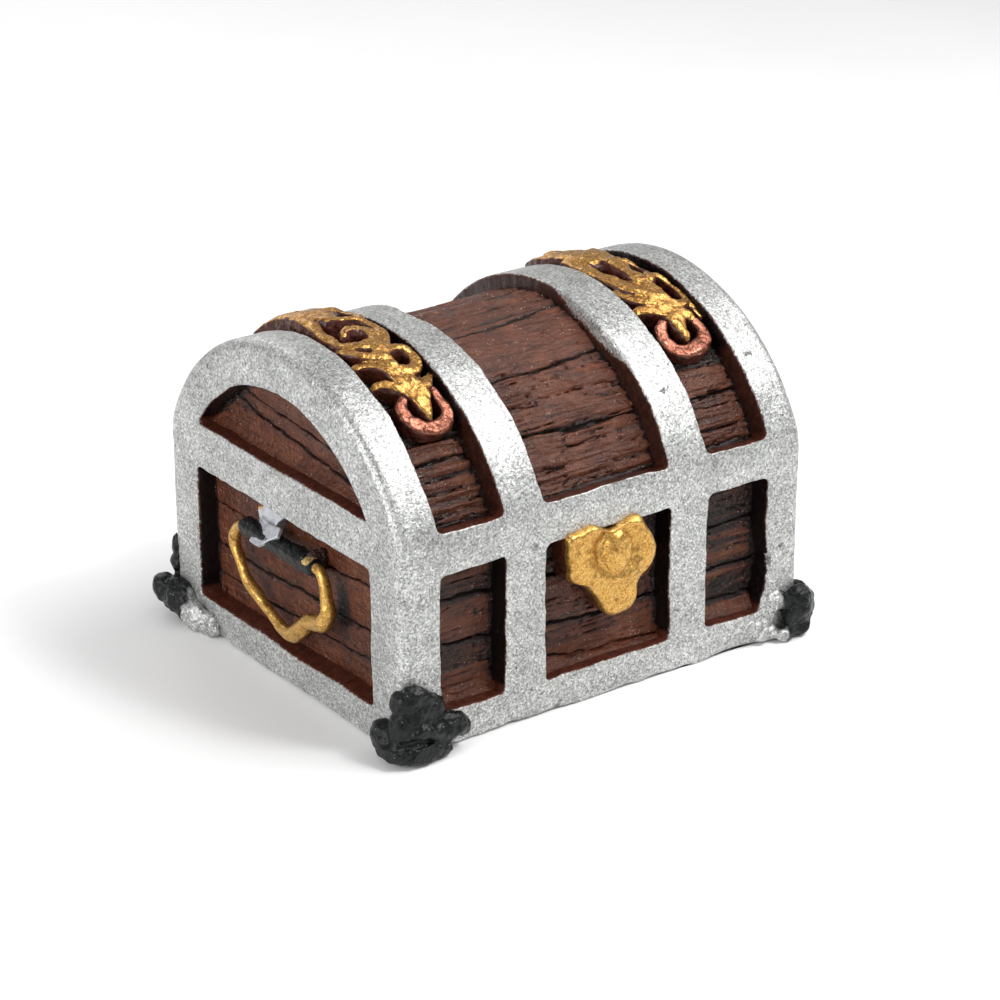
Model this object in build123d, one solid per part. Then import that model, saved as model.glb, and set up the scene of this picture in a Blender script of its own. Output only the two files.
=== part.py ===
from build123d import *
from math import sqrt
import os

# Treasure chest ornament for an aquarium. Air blown in at the back lifts the hinged lid.
# Millimetres. +X to the viewer's right, +Y to the back, +Z up.
# The origin is the middle of the flat underside.

# Driving dimensions: the body
body_width = 75.0
body_depth = 64.0
seam_z = 31.0
seam_gap = 0.3
lid_radius = 35.0
crown_z = 54.3
ironwork_proud = 3.2
wall = 2.5
floor_top_z = 6.2
edge_round = 1.8

# Ironwork layout
post_width = 6.7
post_depth = 8.0
strap_centre_x = 15.3
strap_width = 6.9
band_height = 5.4
rail_low_z = 27.8
rail_high_z = 34.1
lunette_low_z = 34.7
lunette_radius = 28.0

# Feet
foot_lobe_radius = 4.4
foot_knob_radius = 3.2
foot_toe_radius = 1.9

# Lock plate
lock_top_z = 28.6
lock_thickness = 4.6
boss_z = 24.7
boss_radius = 2.6
boss_proud = 0.9

# Scroll ornaments in the side bays of the lid
scroll_centre_x = 24.8
scroll_half_width = 5.2
scroll_reach_y = 19.4
scroll_top_z = 56.1
scroll_top_radius = 28.0
eye_radius = 1.2
cup_centre_y = 18.5
cup_outer_radius = 4.9
cup_inner_radius = 3.3
cup_height = 1.9

# Drop handles
handle_offset_x = 2.7
handle_axis_z = 22.2
grip_radius = 1.7
grip_front_y = -9.0
grip_rear_y = 11.4
bail_radius = 0.8
bail_clearance = 0.08
bail_pin_length = 2.7
cuff_radius = 2.3
cuff_front_y = 0.2
cuff_rear_y = 9.2
clip_radius = 2.2
clip_front_y = -8.5
clip_rear_y = -6.0
keeper_gap = 0.05
keeper_plate = 1.0

# Lid hinges
hinge_offset_y = 2.4
knuckle_radius = 2.2
hinge_pin_radius = 0.9
pin_press_gap = 0.02
pin_running_gap = 0.07
hinge_half_width = 3.3
lid_knuckle_half_width = 1.1
knuckle_side_gap = 0.2
leaf_thickness = 1.0
leaf_length = 7.0
heel_radius = 2.8
heel_half_thickness = 0.6

# Air fittings
air_z = 12.0
spigot_radius = 2.4
spigot_length = 8.0
spigot_chamfer = 0.6
flange_radius = 4.0
flange_thickness = 1.5
stub_radius = 2.0
air_bore_radius = 1.3
stub_end_y = 22.0
hose_radius = 3.0
hose_overlap = 3.0
stone_radius = 5.0
stone_front_y = -12.0
stone_rear_y = 6.0
slip_gap = 0.05

# Coin heap
heap_wall_gap = 0.3
heap_edge_z = 17.0
heap_crown_z = 23.5
heap_cavity_half_width = 7.0
heap_cavity_top_z = 18.2
vent_radius = 2.5

# Derived places
half_width = body_width / 2
half_depth = body_depth / 2
arc_centre_z = crown_z - lid_radius
base_top_z = seam_z - seam_gap / 2
lid_low_z = seam_z + seam_gap / 2
shell_half_width = half_width - ironwork_proud
shell_half_depth = half_depth - ironwork_proud
shell_radius = lid_radius - ironwork_proud
inner_half_width = shell_half_width - wall
inner_half_depth = shell_half_depth - wall
inner_radius = shell_radius - wall
post_inner_x = half_width - post_width
post_inner_y = half_depth - post_depth
handle_axis_x = shell_half_width + handle_offset_x
hinge_y = half_depth + hinge_offset_y


def block(low, high):
    """Box between two opposite corners."""
    size = [b - a for a, b in zip(low, high)]
    middle = [(a + b) / 2 for a, b in zip(low, high)]
    return Pos(*middle) * Box(*size)


def rod_y(radius, y_low, y_high, x, z):
    """Round bar along Y."""
    return Pos(x, (y_low + y_high) / 2, z) * Rot(90, 0, 0) * Cylinder(radius, y_high - y_low)


def rod_x(radius, x_low, x_high, y, z):
    """Round bar along X."""
    return Pos((x_low + x_high) / 2, y, z) * Rot(0, 90, 0) * Cylinder(radius, x_high - x_low)


def vault(side_y, radius, low_z, x_low, x_high):
    """Solid under a barrel vault: upright sides, then one arc across the top."""
    shoulder_z = arc_centre_z + sqrt(radius**2 - side_y**2)
    outline = Line((-side_y, low_z), (side_y, low_z))
    outline += Line((side_y, low_z), (side_y, shoulder_z))
    outline += ThreePointArc((side_y, shoulder_z), (0, arc_centre_z + radius), (-side_y, shoulder_z))
    outline += Line((-side_y, shoulder_z), (-side_y, low_z))
    return extrude(Plane.YZ.offset(x_low) * make_face(outline), amount=x_high - x_low)


def mirrored(shape, side):
    """The shape itself on the right (+1), its mirror image on the left (-1)."""
    return shape if side > 0 else mirror(shape, about=Plane.YZ)


def base_envelope():
    """Outer form of the body below the seam, its upright edges rounded."""
    body = block((-half_width, -half_depth, 0), (half_width, half_depth, base_top_z))
    return fillet(body.edges().filter_by(Axis.Z), edge_round)


def lid_envelope():
    """Outer form of the lid, rounded along the edge of each end."""
    lid = vault(half_depth, lid_radius, lid_low_z, -half_width, half_width)
    ends = lid.faces().filter_by(Plane.YZ)
    rims = [edge for face in ends for edge in face.edges() if edge.center().Z > lid_low_z + seam_gap]
    return fillet(rims, edge_round)


def base_tub():
    """Open box of planked walls with a thick floor and the hole for the air inlet."""
    tub = block(
        (-shell_half_width, -shell_half_depth, 0), (shell_half_width, shell_half_depth, base_top_z)
    )
    tub -= block(
        (-inner_half_width, -inner_half_depth, floor_top_z),
        (inner_half_width, inner_half_depth, base_top_z + wall),
    )
    return tub - rod_y(stub_radius + slip_gap, 0, half_depth, 0, air_z)


def base_ironwork():
    """Everything between the planked box and the outer form of the body."""
    planks = block(
        (-shell_half_width, -shell_half_depth, 0), (shell_half_width, shell_half_depth, base_top_z)
    )
    return base_envelope() - planks


def post(ironwork, x_side, y_side):
    """Corner post, an angle in section, from the bottom band up to the seam."""
    x_low, x_high = sorted((x_side * post_inner_x, x_side * half_width))
    y_low, y_high = sorted((y_side * post_inner_y, y_side * half_depth))
    return ironwork & block((x_low, y_low, band_height), (x_high, y_high, base_top_z))


def upright_strap(x_side, y_side):
    """Flat strap on the front or the back wall."""
    x_middle = x_side * strap_centre_x
    y_low, y_high = sorted((y_side * shell_half_depth, y_side * half_depth))
    return block(
        (x_middle - strap_width / 2, y_low, band_height),
        (x_middle + strap_width / 2, y_high, rail_low_z),
    )


def base_rail(side):
    """The body's half of the rail, along the front (-1) or the back (+1)."""
    y_low, y_high = sorted((side * shell_half_depth, side * half_depth))
    return block((-post_inner_x, y_low, rail_low_z), (post_inner_x, y_high, base_top_z))


def base_end_rail(side):
    """The body's half of the rail across one end."""
    x_low, x_high = sorted((side * shell_half_width, side * half_width))
    return block((x_low, -post_inner_y, rail_low_z), (x_high, post_inner_y, base_top_z))


def foot(x_side, y_side):
    """Lumpy cast claw that clasps one corner from outside. Only the left ones have a knob on top."""
    corner_x = half_width - edge_round / 2
    corner_y = half_depth - edge_round / 2
    toe_y = half_depth + foot_toe_radius / 3
    claw = Pos(corner_x, corner_y, foot_lobe_radius) * Sphere(foot_lobe_radius)
    if x_side < 0:
        claw += Pos(corner_x, corner_y, 2 * foot_lobe_radius) * Sphere(foot_knob_radius)
    toe_x = half_width - 2 * foot_lobe_radius
    claw += rod_x(foot_toe_radius, toe_x, corner_x, toe_y, foot_lobe_radius)
    claw += Pos(toe_x, toe_y, foot_lobe_radius) * Sphere(foot_toe_radius)
    claw -= block((0, 0, -band_height), (half_width, half_depth, seam_z))
    claw = mirrored(claw, x_side)
    return claw if y_side > 0 else mirror(claw, about=Plane.XZ)


def lock_plate():
    """Shield-shaped hasp plate with two ears, a rounded tongue and a domed boss."""
    outline = Spline(
        (-8.6, 25.0), (-7.0, lock_top_z), (-1.5, 27.9), (6.0, lock_top_z), (8.4, 24.5),
        (6.6, 18.5), (4.2, 14.6), (0.8, 13.2), (-2.2, 15.4), (-4.4, 19.4), (-7.6, 22.4),
        periodic=True,
    )
    plane = Plane(origin=(0, -shell_half_depth, 0), x_dir=(1, 0, 0), z_dir=(0, -1, 0))
    plate = extrude(plane * make_face(outline), amount=lock_thickness)
    boss_y = boss_radius - boss_proud - shell_half_depth - lock_thickness
    plate += Pos(0, boss_y, boss_z) * Sphere(boss_radius)
    return plate - block((-post_inner_x, -half_depth, rail_low_z), (post_inner_x, 0, crown_z))


def lid_shell():
    """Hollow barrel lid of planks."""
    outside = vault(shell_half_depth, shell_radius, lid_low_z, -shell_half_width, shell_half_width)
    inside = vault(inner_half_depth, inner_radius, lid_low_z - wall, -inner_half_width, inner_half_width)
    return outside - inside


def lid_ironwork():
    """Everything between the planked lid and its outer form."""
    planks = vault(shell_half_depth, shell_radius, lid_low_z, -shell_half_width, shell_half_width)
    return lid_envelope() - planks


def lid_rail(ironwork, side):
    """The lid's half of the rail, along the front (-1) or the back (+1)."""
    y_low, y_high = sorted((side * post_inner_y, side * half_depth))
    return ironwork & block((-post_inner_x, y_low, lid_low_z), (post_inner_x, y_high, rail_high_z))


def lid_strap(ironwork, side):
    """Strap over the lid between the front rail and the back rail."""
    x_middle = side * strap_centre_x
    return ironwork & block(
        (x_middle - strap_width / 2, -half_depth, rail_high_z),
        (x_middle + strap_width / 2, half_depth, crown_z),
    )


def lunette(side):
    """Arched space that the end band leaves open on one end of the lid."""
    arch = vault(post_inner_y, lunette_radius, lid_low_z, shell_half_width, half_width)
    return mirrored(arch, side)


def lid_end_band(ironwork, side):
    """Arched band around one end of the lid, on its top and on its end face."""
    x_low, x_high = sorted((side * post_inner_x, side * half_width))
    band = ironwork & block((x_low, -half_depth, lid_low_z), (x_high, half_depth, crown_z))
    return band - lunette(side)


def lid_end_rail(side):
    """The lid's half of the rail across one end."""
    below = block((-half_width, -half_depth, lid_low_z), (half_width, half_depth, lunette_low_z))
    return lunette(side) & below


def lid_skin(height):
    """Thin layer of the stated height on top of the planked lid's right half."""
    top = vault(shell_half_depth, shell_radius + height, rail_high_z, 0, half_width)
    return top - vault(shell_half_depth, shell_radius, seam_z, 0, half_width)


def scroll(side):
    """Pierced leaf scroll over the crown of one side bay, thickest at the crown."""
    waist = 0.8 * scroll_half_width
    half_outline = [
        (0, -scroll_reach_y), (-0.9 * scroll_half_width, -0.72 * scroll_reach_y),
        (-0.6 * scroll_half_width, -0.6 * scroll_reach_y), (-scroll_half_width, -0.4 * scroll_reach_y),
        (-waist, -0.2 * scroll_reach_y), (-scroll_half_width, 0),
    ]
    left = half_outline + [(x, -y) for x, y in reversed(half_outline[:-1])]
    right = [(-x, y) for x, y in reversed(left[1:-1])]
    leaf = Polyline(*left, *right, close=True)
    plan = Plane.XY.offset(rail_high_z) * make_face(leaf)
    prism = Pos(scroll_centre_x, 0, 0) * extrude(plan, amount=scroll_top_z - rail_high_z)
    for y in (-scroll_reach_y / 3, 0, scroll_reach_y / 3):
        prism -= Pos(scroll_centre_x, y, crown_z) * Cylinder(eye_radius, crown_z)
    crowned = rod_x(scroll_top_radius, 0, half_width, 0, scroll_top_z - scroll_top_radius)
    crowned -= vault(shell_half_depth, shell_radius, seam_z, 0, half_width)
    return mirrored(crowned & prism, side)


def scroll_cup(x_side, y_side):
    """Open ring that cups the pointed end of a scroll."""
    ring = Cylinder(cup_outer_radius, crown_z) - Cylinder(cup_inner_radius, crown_z)
    ring -= block(
        (-cup_outer_radius, cup_outer_radius / 4, -crown_z), (cup_outer_radius, cup_outer_radius, crown_z)
    )
    ring = Pos(scroll_centre_x, -cup_centre_y, crown_z) * ring
    cup = mirrored(lid_skin(cup_height) & ring, x_side)
    return cup if y_side < 0 else mirror(cup, about=Plane.XZ)


def grip(side):
    """Thick bar across the top of a drop handle, drilled at each end for the bail."""
    bar = rod_y(grip_radius, grip_front_y, grip_rear_y, handle_axis_x, handle_axis_z)
    hole_radius = bail_radius + bail_clearance
    hole_depth = bail_pin_length + bail_radius
    bar -= rod_y(hole_radius, grip_front_y, grip_front_y + hole_depth, handle_axis_x, handle_axis_z)
    bar -= rod_y(hole_radius, grip_rear_y - hole_depth, grip_rear_y, handle_axis_x, handle_axis_z)
    return mirrored(bar, side)


def cuff(side):
    """Folded plate on the end wall that wraps round the rear half of the grip."""
    top_z = rail_low_z - keeper_plate / 2
    plate_x = shell_half_width + keeper_plate
    piece = rod_y(cuff_radius, cuff_front_y, cuff_rear_y, handle_axis_x, handle_axis_z)
    piece += block((shell_half_width, cuff_front_y, handle_axis_z), (plate_x, cuff_rear_y, top_z))
    piece += block(
        (shell_half_width, cuff_front_y, handle_axis_z),
        (handle_axis_x, cuff_rear_y, handle_axis_z + cuff_radius),
    )
    bore = rod_y(grip_radius + keeper_gap, cuff_front_y, cuff_rear_y, handle_axis_x, handle_axis_z)
    return mirrored(piece - bore, side)


def clip(side):
    """Small clip that holds the front end of the grip to the end wall."""
    piece = rod_y(clip_radius, clip_front_y, clip_rear_y, handle_axis_x, handle_axis_z)
    piece += block(
        (shell_half_width, clip_front_y, handle_axis_z - clip_radius),
        (handle_axis_x, clip_rear_y, handle_axis_z + clip_radius),
    )
    bore = rod_y(grip_radius + keeper_gap, clip_front_y, clip_rear_y, handle_axis_x, handle_axis_z)
    return mirrored(piece - bore, side)


def bail(side):
    """Hand-bent drop loop: one wavy front limb and a long low sweep to the rear."""
    front_limb_y = grip_front_y - 2 * bail_radius
    rear_limb_y = grip_rear_y + 2 * bail_radius
    path = FilletPolyline(
        (grip_front_y + bail_pin_length, handle_axis_z), (front_limb_y, handle_axis_z),
        (-11.9, 15.4), (-10.9, 13.2), (-7.5, 12.9), (-3.6, 9.6), (0.2, 8.9),
        (8.4, 12.2), (11.8, 14.4), (14.1, 18.6), (rear_limb_y, handle_axis_z),
        (grip_rear_y - bail_pin_length, handle_axis_z),
        radius=bail_radius * 1.1,
    )
    path = Pos(handle_axis_x, 0, 0) * (Plane.YZ * path)
    start = Plane(origin=path @ 0, z_dir=path % 0)
    return mirrored(sweep(start * Circle(bail_radius), path=path), side)


def hinge_barrel(half_width_x, bore_radius, inner_half_width_x=0.0):
    """Knuckle tube about the hinge axis, or a pair of them with a gap between."""
    barrel = rod_x(knuckle_radius, -half_width_x, half_width_x, hinge_y, seam_z)
    barrel -= rod_x(bore_radius, -half_width_x, half_width_x, hinge_y, seam_z)
    if inner_half_width_x:
        gap = inner_half_width_x
        barrel -= block((-gap, half_depth, rail_low_z), (gap, half_depth + body_depth, crown_z))
    return barrel


def base_hinge_leaf(side):
    """Leaf on the back strap of the body with the two outer knuckles."""
    notch = lid_knuckle_half_width + knuckle_side_gap
    bore = hinge_pin_radius + pin_press_gap
    low_z = seam_z - knuckle_radius - leaf_length
    leaf = block(
        (-hinge_half_width, half_depth, low_z),
        (hinge_half_width, half_depth + leaf_thickness, seam_z - seam_gap),
    )
    web_z = seam_z - knuckle_radius
    leaf += block(
        (-hinge_half_width, half_depth, web_z), (hinge_half_width, hinge_y, seam_z - seam_gap)
    )
    leaf -= rod_x(knuckle_radius, -hinge_half_width, hinge_half_width, hinge_y, seam_z)
    leaf -= block(
        (-notch, half_depth, seam_z - heel_radius - seam_gap), (notch, half_depth + body_depth, seam_z)
    )
    leaf += hinge_barrel(hinge_half_width, bore, notch)
    return Pos(side * strap_centre_x, 0, 0) * leaf


def lid_hinge_leaf(side):
    """Leaf on the back strap of the lid with the middle knuckle and its stop heel."""
    bore = hinge_pin_radius + pin_running_gap
    reach = knuckle_radius + leaf_length
    skin = vault(half_depth + leaf_thickness, lid_radius + leaf_thickness, lid_low_z, -half_width, half_width)
    skin -= vault(half_depth, lid_radius, lid_low_z - wall, -half_width, half_width)
    upper = block(
        (-hinge_half_width, 0, seam_z + knuckle_radius + seam_gap),
        (hinge_half_width, body_depth, seam_z + reach),
    )
    middle = block(
        (-lid_knuckle_half_width, 0, lid_low_z), (lid_knuckle_half_width, body_depth, seam_z + reach)
    )
    leaf = skin & (upper + middle)
    web = block(
        (-lid_knuckle_half_width, half_depth, lid_low_z),
        (lid_knuckle_half_width, hinge_y, seam_z + knuckle_radius),
    )
    heel = block(
        (-lid_knuckle_half_width, hinge_y - heel_half_thickness, seam_z - heel_radius),
        (lid_knuckle_half_width, hinge_y + heel_half_thickness, seam_z),
    )
    core = rod_x(bore, -lid_knuckle_half_width, lid_knuckle_half_width, hinge_y, seam_z)
    leaf += web + heel
    leaf += rod_x(knuckle_radius, -lid_knuckle_half_width, lid_knuckle_half_width, hinge_y, seam_z)
    return Pos(side * strap_centre_x, 0, 0) * (leaf - core)


def hinge_pin(side):
    """Pin through the three knuckles of one hinge."""
    x_middle = side * strap_centre_x
    return rod_x(hinge_pin_radius, x_middle - hinge_half_width, x_middle + hinge_half_width, hinge_y, seam_z)


def air_inlet():
    """Hose spigot with a flange on the back wall and a stub through it."""
    outer_y = shell_half_depth + flange_thickness
    inlet = rod_y(flange_radius, shell_half_depth, outer_y, 0, air_z)
    inlet += rod_y(stub_radius, stub_end_y, outer_y, 0, air_z)
    spigot = rod_y(spigot_radius, outer_y, outer_y + spigot_length, 0, air_z)
    tip = spigot.edges().sort_by(Axis.Y)[-1]
    inlet += chamfer(tip, spigot_chamfer)
    return inlet - rod_y(air_bore_radius, 0, outer_y + 2 * spigot_length, 0, air_z)


def air_hose():
    """Short soft hose from the inlet's stub to the air stone's nipple."""
    front_y = stone_rear_y
    rear_y = stub_end_y + hose_overlap
    hose = rod_y(hose_radius, front_y, rear_y, 0, air_z)
    return hose - rod_y(stub_radius + slip_gap, front_y, rear_y, 0, air_z)


def air_stone():
    """Porous cylinder that breaks the air into bubbles, with a nipple for the hose."""
    stone = rod_y(stone_radius, stone_front_y, stone_rear_y, 0, air_z)
    stone = fillet(stone.edges(), stone_radius / 5)
    nipple = rod_y(stub_radius, 0, stone_rear_y + hose_overlap, 0, air_z)
    passage = rod_y(air_bore_radius, 0, stone_rear_y + hose_overlap, 0, air_z)
    return stone + nipple - passage


def coin_heap():
    """Domed heap of coins cast in one piece, hollow over the air stone, with a vent."""
    side_x = inner_half_width - heap_wall_gap
    side_y = inner_half_depth - heap_wall_gap
    heap = block((-side_x, -side_y, floor_top_z), (side_x, side_y, heap_crown_z))
    rise = heap_crown_z - heap_edge_z
    dome_radius = (side_x**2 + side_y**2 + rise**2) / (2 * rise)
    heap &= Pos(0, 0, heap_crown_z - dome_radius) * Sphere(dome_radius)
    heap -= block(
        (-heap_cavity_half_width, stone_front_y - heap_cavity_half_width, 0),
        (heap_cavity_half_width, half_depth, heap_cavity_top_z),
    )
    return heap - Pos(0, (stone_front_y + stone_rear_y) / 2, crown_z) * Cylinder(vent_radius, body_width)


def build_nodes():
    """Every sub-part by name."""
    nodes = {"base_tub": base_tub()}
    ironwork = base_ironwork()
    lid_iron = lid_ironwork()
    nodes["bottom_band"] = ironwork & block(
        (-half_width, -half_depth, 0), (half_width, half_depth, band_height)
    )
    nodes["lock_plate"] = lock_plate()
    nodes["lid_shell"] = lid_shell()
    nodes["air_inlet"] = air_inlet()
    nodes["air_hose"] = air_hose()
    nodes["air_stone"] = air_stone()
    nodes["coin_heap"] = coin_heap()
    for y_name, y_side in (("front", -1), ("rear", 1)):
        nodes[f"base_rail_{y_name}"] = base_rail(y_side)
        nodes[f"lid_rail_{y_name}"] = lid_rail(lid_iron, y_side)
    for x_name, x_side in (("left", -1), ("right", 1)):
        nodes[f"base_rail_{x_name}"] = base_end_rail(x_side)
        nodes[f"lid_rail_{x_name}"] = lid_end_rail(x_side)
        nodes[f"lid_end_band_{x_name}"] = lid_end_band(lid_iron, x_side)
        nodes[f"lid_strap_{x_name}"] = lid_strap(lid_iron, x_side)
        nodes[f"scroll_{x_name}"] = scroll(x_side)
        nodes[f"handle_grip_{x_name}"] = grip(x_side)
        nodes[f"handle_cuff_{x_name}"] = cuff(x_side)
        nodes[f"handle_clip_{x_name}"] = clip(x_side)
        nodes[f"handle_bail_{x_name}"] = bail(x_side)
        nodes[f"hinge_leaf_base_{x_name}"] = base_hinge_leaf(x_side)
        nodes[f"hinge_leaf_lid_{x_name}"] = lid_hinge_leaf(x_side)
        nodes[f"hinge_pin_{x_name}"] = hinge_pin(x_side)
        for y_name, y_side in (("front", -1), ("rear", 1)):
            nodes[f"post_{y_name}_{x_name}"] = post(ironwork, x_side, y_side)
            nodes[f"strap_{y_name}_{x_name}"] = upright_strap(x_side, y_side)
            nodes[f"foot_{y_name}_{x_name}"] = foot(x_side, y_side)
            nodes[f"scroll_cup_{y_name}_{x_name}"] = scroll_cup(x_side, y_side)
    return nodes


os.makedirs("parts", exist_ok=True)
for node_name, node_shape in build_nodes().items():
    export_step(node_shape, f"parts/{node_name}.step")
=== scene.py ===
import math
from functools import partial

import bpy
import numpy as np
from mathutils import Matrix, Vector


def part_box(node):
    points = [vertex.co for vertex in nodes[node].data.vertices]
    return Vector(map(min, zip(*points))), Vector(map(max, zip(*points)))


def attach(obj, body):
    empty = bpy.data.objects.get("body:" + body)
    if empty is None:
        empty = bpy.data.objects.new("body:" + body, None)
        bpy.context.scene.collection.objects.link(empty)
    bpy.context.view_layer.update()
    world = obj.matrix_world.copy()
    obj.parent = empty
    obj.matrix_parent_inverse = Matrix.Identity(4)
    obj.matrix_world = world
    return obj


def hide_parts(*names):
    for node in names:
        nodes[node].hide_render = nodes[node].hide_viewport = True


# A hand-painted treasure chest for an aquarium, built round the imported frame.
# Lengths are millimetres and are turned into metres when a mesh is made.
# +X is the viewer's right, -Y the front with the lock, +Z up.

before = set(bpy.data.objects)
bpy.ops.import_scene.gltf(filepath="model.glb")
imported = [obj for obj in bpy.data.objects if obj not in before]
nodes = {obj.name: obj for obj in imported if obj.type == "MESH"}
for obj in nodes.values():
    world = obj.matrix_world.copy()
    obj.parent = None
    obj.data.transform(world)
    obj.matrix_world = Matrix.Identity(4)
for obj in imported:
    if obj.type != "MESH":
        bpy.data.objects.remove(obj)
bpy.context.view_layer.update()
MM = 0.001


def node_box(name):
    """Lowest and highest corners of a CAD node, in millimetres."""
    low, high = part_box(name)
    return np.array(low) / MM, np.array(high) / MM


# ---------------------------------------------------------------- sizes read from the frame
band_high = node_box("bottom_band")[1]
tub_high = node_box("base_tub")[1]
shell_low = node_box("lid_shell")[0]
strap_low, strap_high = node_box("strap_front_right")
post_low, post_high = node_box("post_front_right")
end_rail_high = node_box("lid_rail_right")[1]
front_rail_high = node_box("lid_rail_front")[1]
grip_low, grip_high = node_box("handle_grip_right")

HALF_W = band_high[0]
HALF_D = band_high[1]
CROWN_Z = node_box("lid_strap_right")[1][2]
PROUD = HALF_W - tub_high[0]
WALL = 2.5
LID_RADIUS = 35.0
ARC_Z = CROWN_Z - LID_RADIUS
SEAM_Z = (tub_high[2] + shell_low[2]) / 2
BAND_TOP = band_high[2]
BASE_RAIL_Z = strap_high[2]
LID_RAIL_Z = front_rail_high[2]
LUNETTE_Z = end_rail_high[2]
LUNETTE_RADIUS = LID_RADIUS - 7.0
POST_X = post_low[0]
POST_Y = post_high[1]
STRAP_IN = strap_low[0]
STRAP_OUT = strap_high[0]
FLOOR_Z = node_box("coin_heap")[0][2]

# ---------------------------------------------------------------- casting and painting style
SEAM_GAP = 0.005
SHARP_ANGLE = math.radians(72)
EDGE_ROUND = 1.8
SHOULDER_ROUND = 8.0
WALL_RUN = 0.85
BAY_CORNER = 1.1
EDGE_WOBBLE = 0.32
SKIN_WAVE = 0.16
HIDDEN_DEPTH = PROUD + 1.15
LINING_DEPTH = HIDDEN_DEPTH + 0.05
COARSE = 0.5
FINE = 0.12
FINE_REACH = 1.1
SLAB_UNDERLAP = 0.9
BOARD_SWELL = 1.7
JOINT_DEPTH = 0.75
JOINT_SHOULDER = 0.18
CHIP_DEPTH = 0.22
NARROWING = 0.3

# Distance inside a bay, for places that have no bay, and the size of the noise table.
NO_BAY = -9.0
NOISE_CELLS = 8192


# ---------------------------------------------------------------- noise
def value_noise(points, seed):
    """Smooth random field from 0 to 1 at the rows of points, with cells of size 1."""
    table = np.random.default_rng(seed).random(NOISE_CELLS)
    cell = np.floor(points).astype(np.int64)
    part = points - cell
    part = part * part * (3 - 2 * part)
    total = np.zeros(len(points))
    for corner in range(8):
        step = np.array([(corner >> axis) & 1 for axis in range(3)])
        key = (cell + step) * np.array([73856093, 19349663, 83492791])
        index = (key[:, 0] ^ key[:, 1] ^ key[:, 2]) & (NOISE_CELLS - 1)
        weight = np.prod(np.where(step == 1, part, 1 - part), axis=1)
        total += table[index] * weight
    return total


def fbm(x, y, z, size, seed, octaves=3):
    """Layered noise from about -1 to 1. size is the largest feature, one number or one per axis."""
    shape = np.broadcast(x, y, z).shape
    points = np.stack([np.broadcast_to(v, shape).ravel() for v in (x, y, z)], axis=1) / np.array(size)
    total, weight, norm = np.zeros(len(points)), 1.0, 0.0
    for octave in range(octaves):
        total += weight * (2 * value_noise(points * 2.0**octave + 17.3 * octave, seed + octave) - 1)
        norm += weight
        weight *= 0.5
    return (total / norm).reshape(shape) * 1.6


def smooth_step(value, low, high):
    """0 below low, 1 above high and a soft slope between."""
    part = np.clip((value - low) / (high - low), 0, 1)
    return part * part * (3 - 2 * part)


def hump(value, middle, width, power=2):
    """1 at the middle, falling away over about one width on each side."""
    return np.exp(-(((value - middle) / width) ** power))


def round_angles(count):
    """Evenly spaced angles round a circle, without the last, which would repeat the first."""
    return np.linspace(0, 2 * math.pi, count, endpoint=False)


# ---------------------------------------------------------------- mesh helpers
def make_piece(name, points, faces, body, slot, replaced, material, **attributes):
    """One closed object from points in millimetres, riding on a body and standing for CAD nodes."""
    mesh = bpy.data.meshes.new(name)
    mesh.from_pydata([tuple(p) for p in np.asarray(points) * MM], [], faces)
    mesh.validate()
    for key, values in attributes.items():
        layer = mesh.attributes.new(key, "FLOAT", "POINT")
        layer.data.foreach_set("value", np.asarray(values, np.float32))
    mesh.shade_smooth()
    mesh.set_sharp_from_angle(angle=SHARP_ANGLE)
    mesh.materials.append(material)
    piece = bpy.data.objects.new(name, mesh)
    bpy.context.scene.collection.objects.link(piece)
    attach(piece, body)
    if replaced:
        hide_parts(*replaced)
    face_outward(piece)


def graded(low, high, edges):
    """Positions from low to high, close together near each edge and wide apart elsewhere."""
    values = [low]
    while values[-1] < high:
        here = values[-1]
        nearest = min(abs(here + COARSE / 2 - edge) for edge in edges)
        values.append(here + (FINE if nearest < FINE_REACH else COARSE))
    values = np.array(values)
    return low + (values - low) * (high - low) / (values[-1] - low)


def grid_faces(rows, columns, start=0, wrap=False):
    """Quads of a grid numbered row by row. wrap joins the last column to the first."""
    faces = []
    last = columns if wrap else columns - 1
    for row in range(rows - 1):
        a = start + row * columns
        for column in range(last):
            b = (column + 1) % columns
            faces.append((a + column, a + b, a + columns + b, a + columns + column))
    return faces


def capped_faces(rings, segments):
    """Faces of a stack of rings whose two ends close on poles numbered after the rings."""
    faces = grid_faces(rings, segments, wrap=True)
    pole, last = rings * segments, (rings - 1) * segments
    for number in range(segments):
        after = (number + 1) % segments
        faces.append((pole, after, number))
        faces.append((pole + 1, last + number, last + after))
    return faces


def tube_faces(rings, segments):
    """Faces of a stack of rings with one flat face over each end."""
    faces = grid_faces(rings, segments, wrap=True)
    faces.append(tuple(range(segments))[::-1])
    faces.append(tuple(range((rings - 1) * segments, rings * segments)))
    return faces


def border(rows, columns, start=0):
    """Indices round the edge of a grid, in order."""
    top = [start + c for c in range(columns)]
    right = [start + r * columns + columns - 1 for r in range(1, rows)]
    bottom = [start + (rows - 1) * columns + c for c in range(columns - 2, -1, -1)]
    left = [start + r * columns for r in range(rows - 2, 0, -1)]
    return top + right + bottom + left


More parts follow.
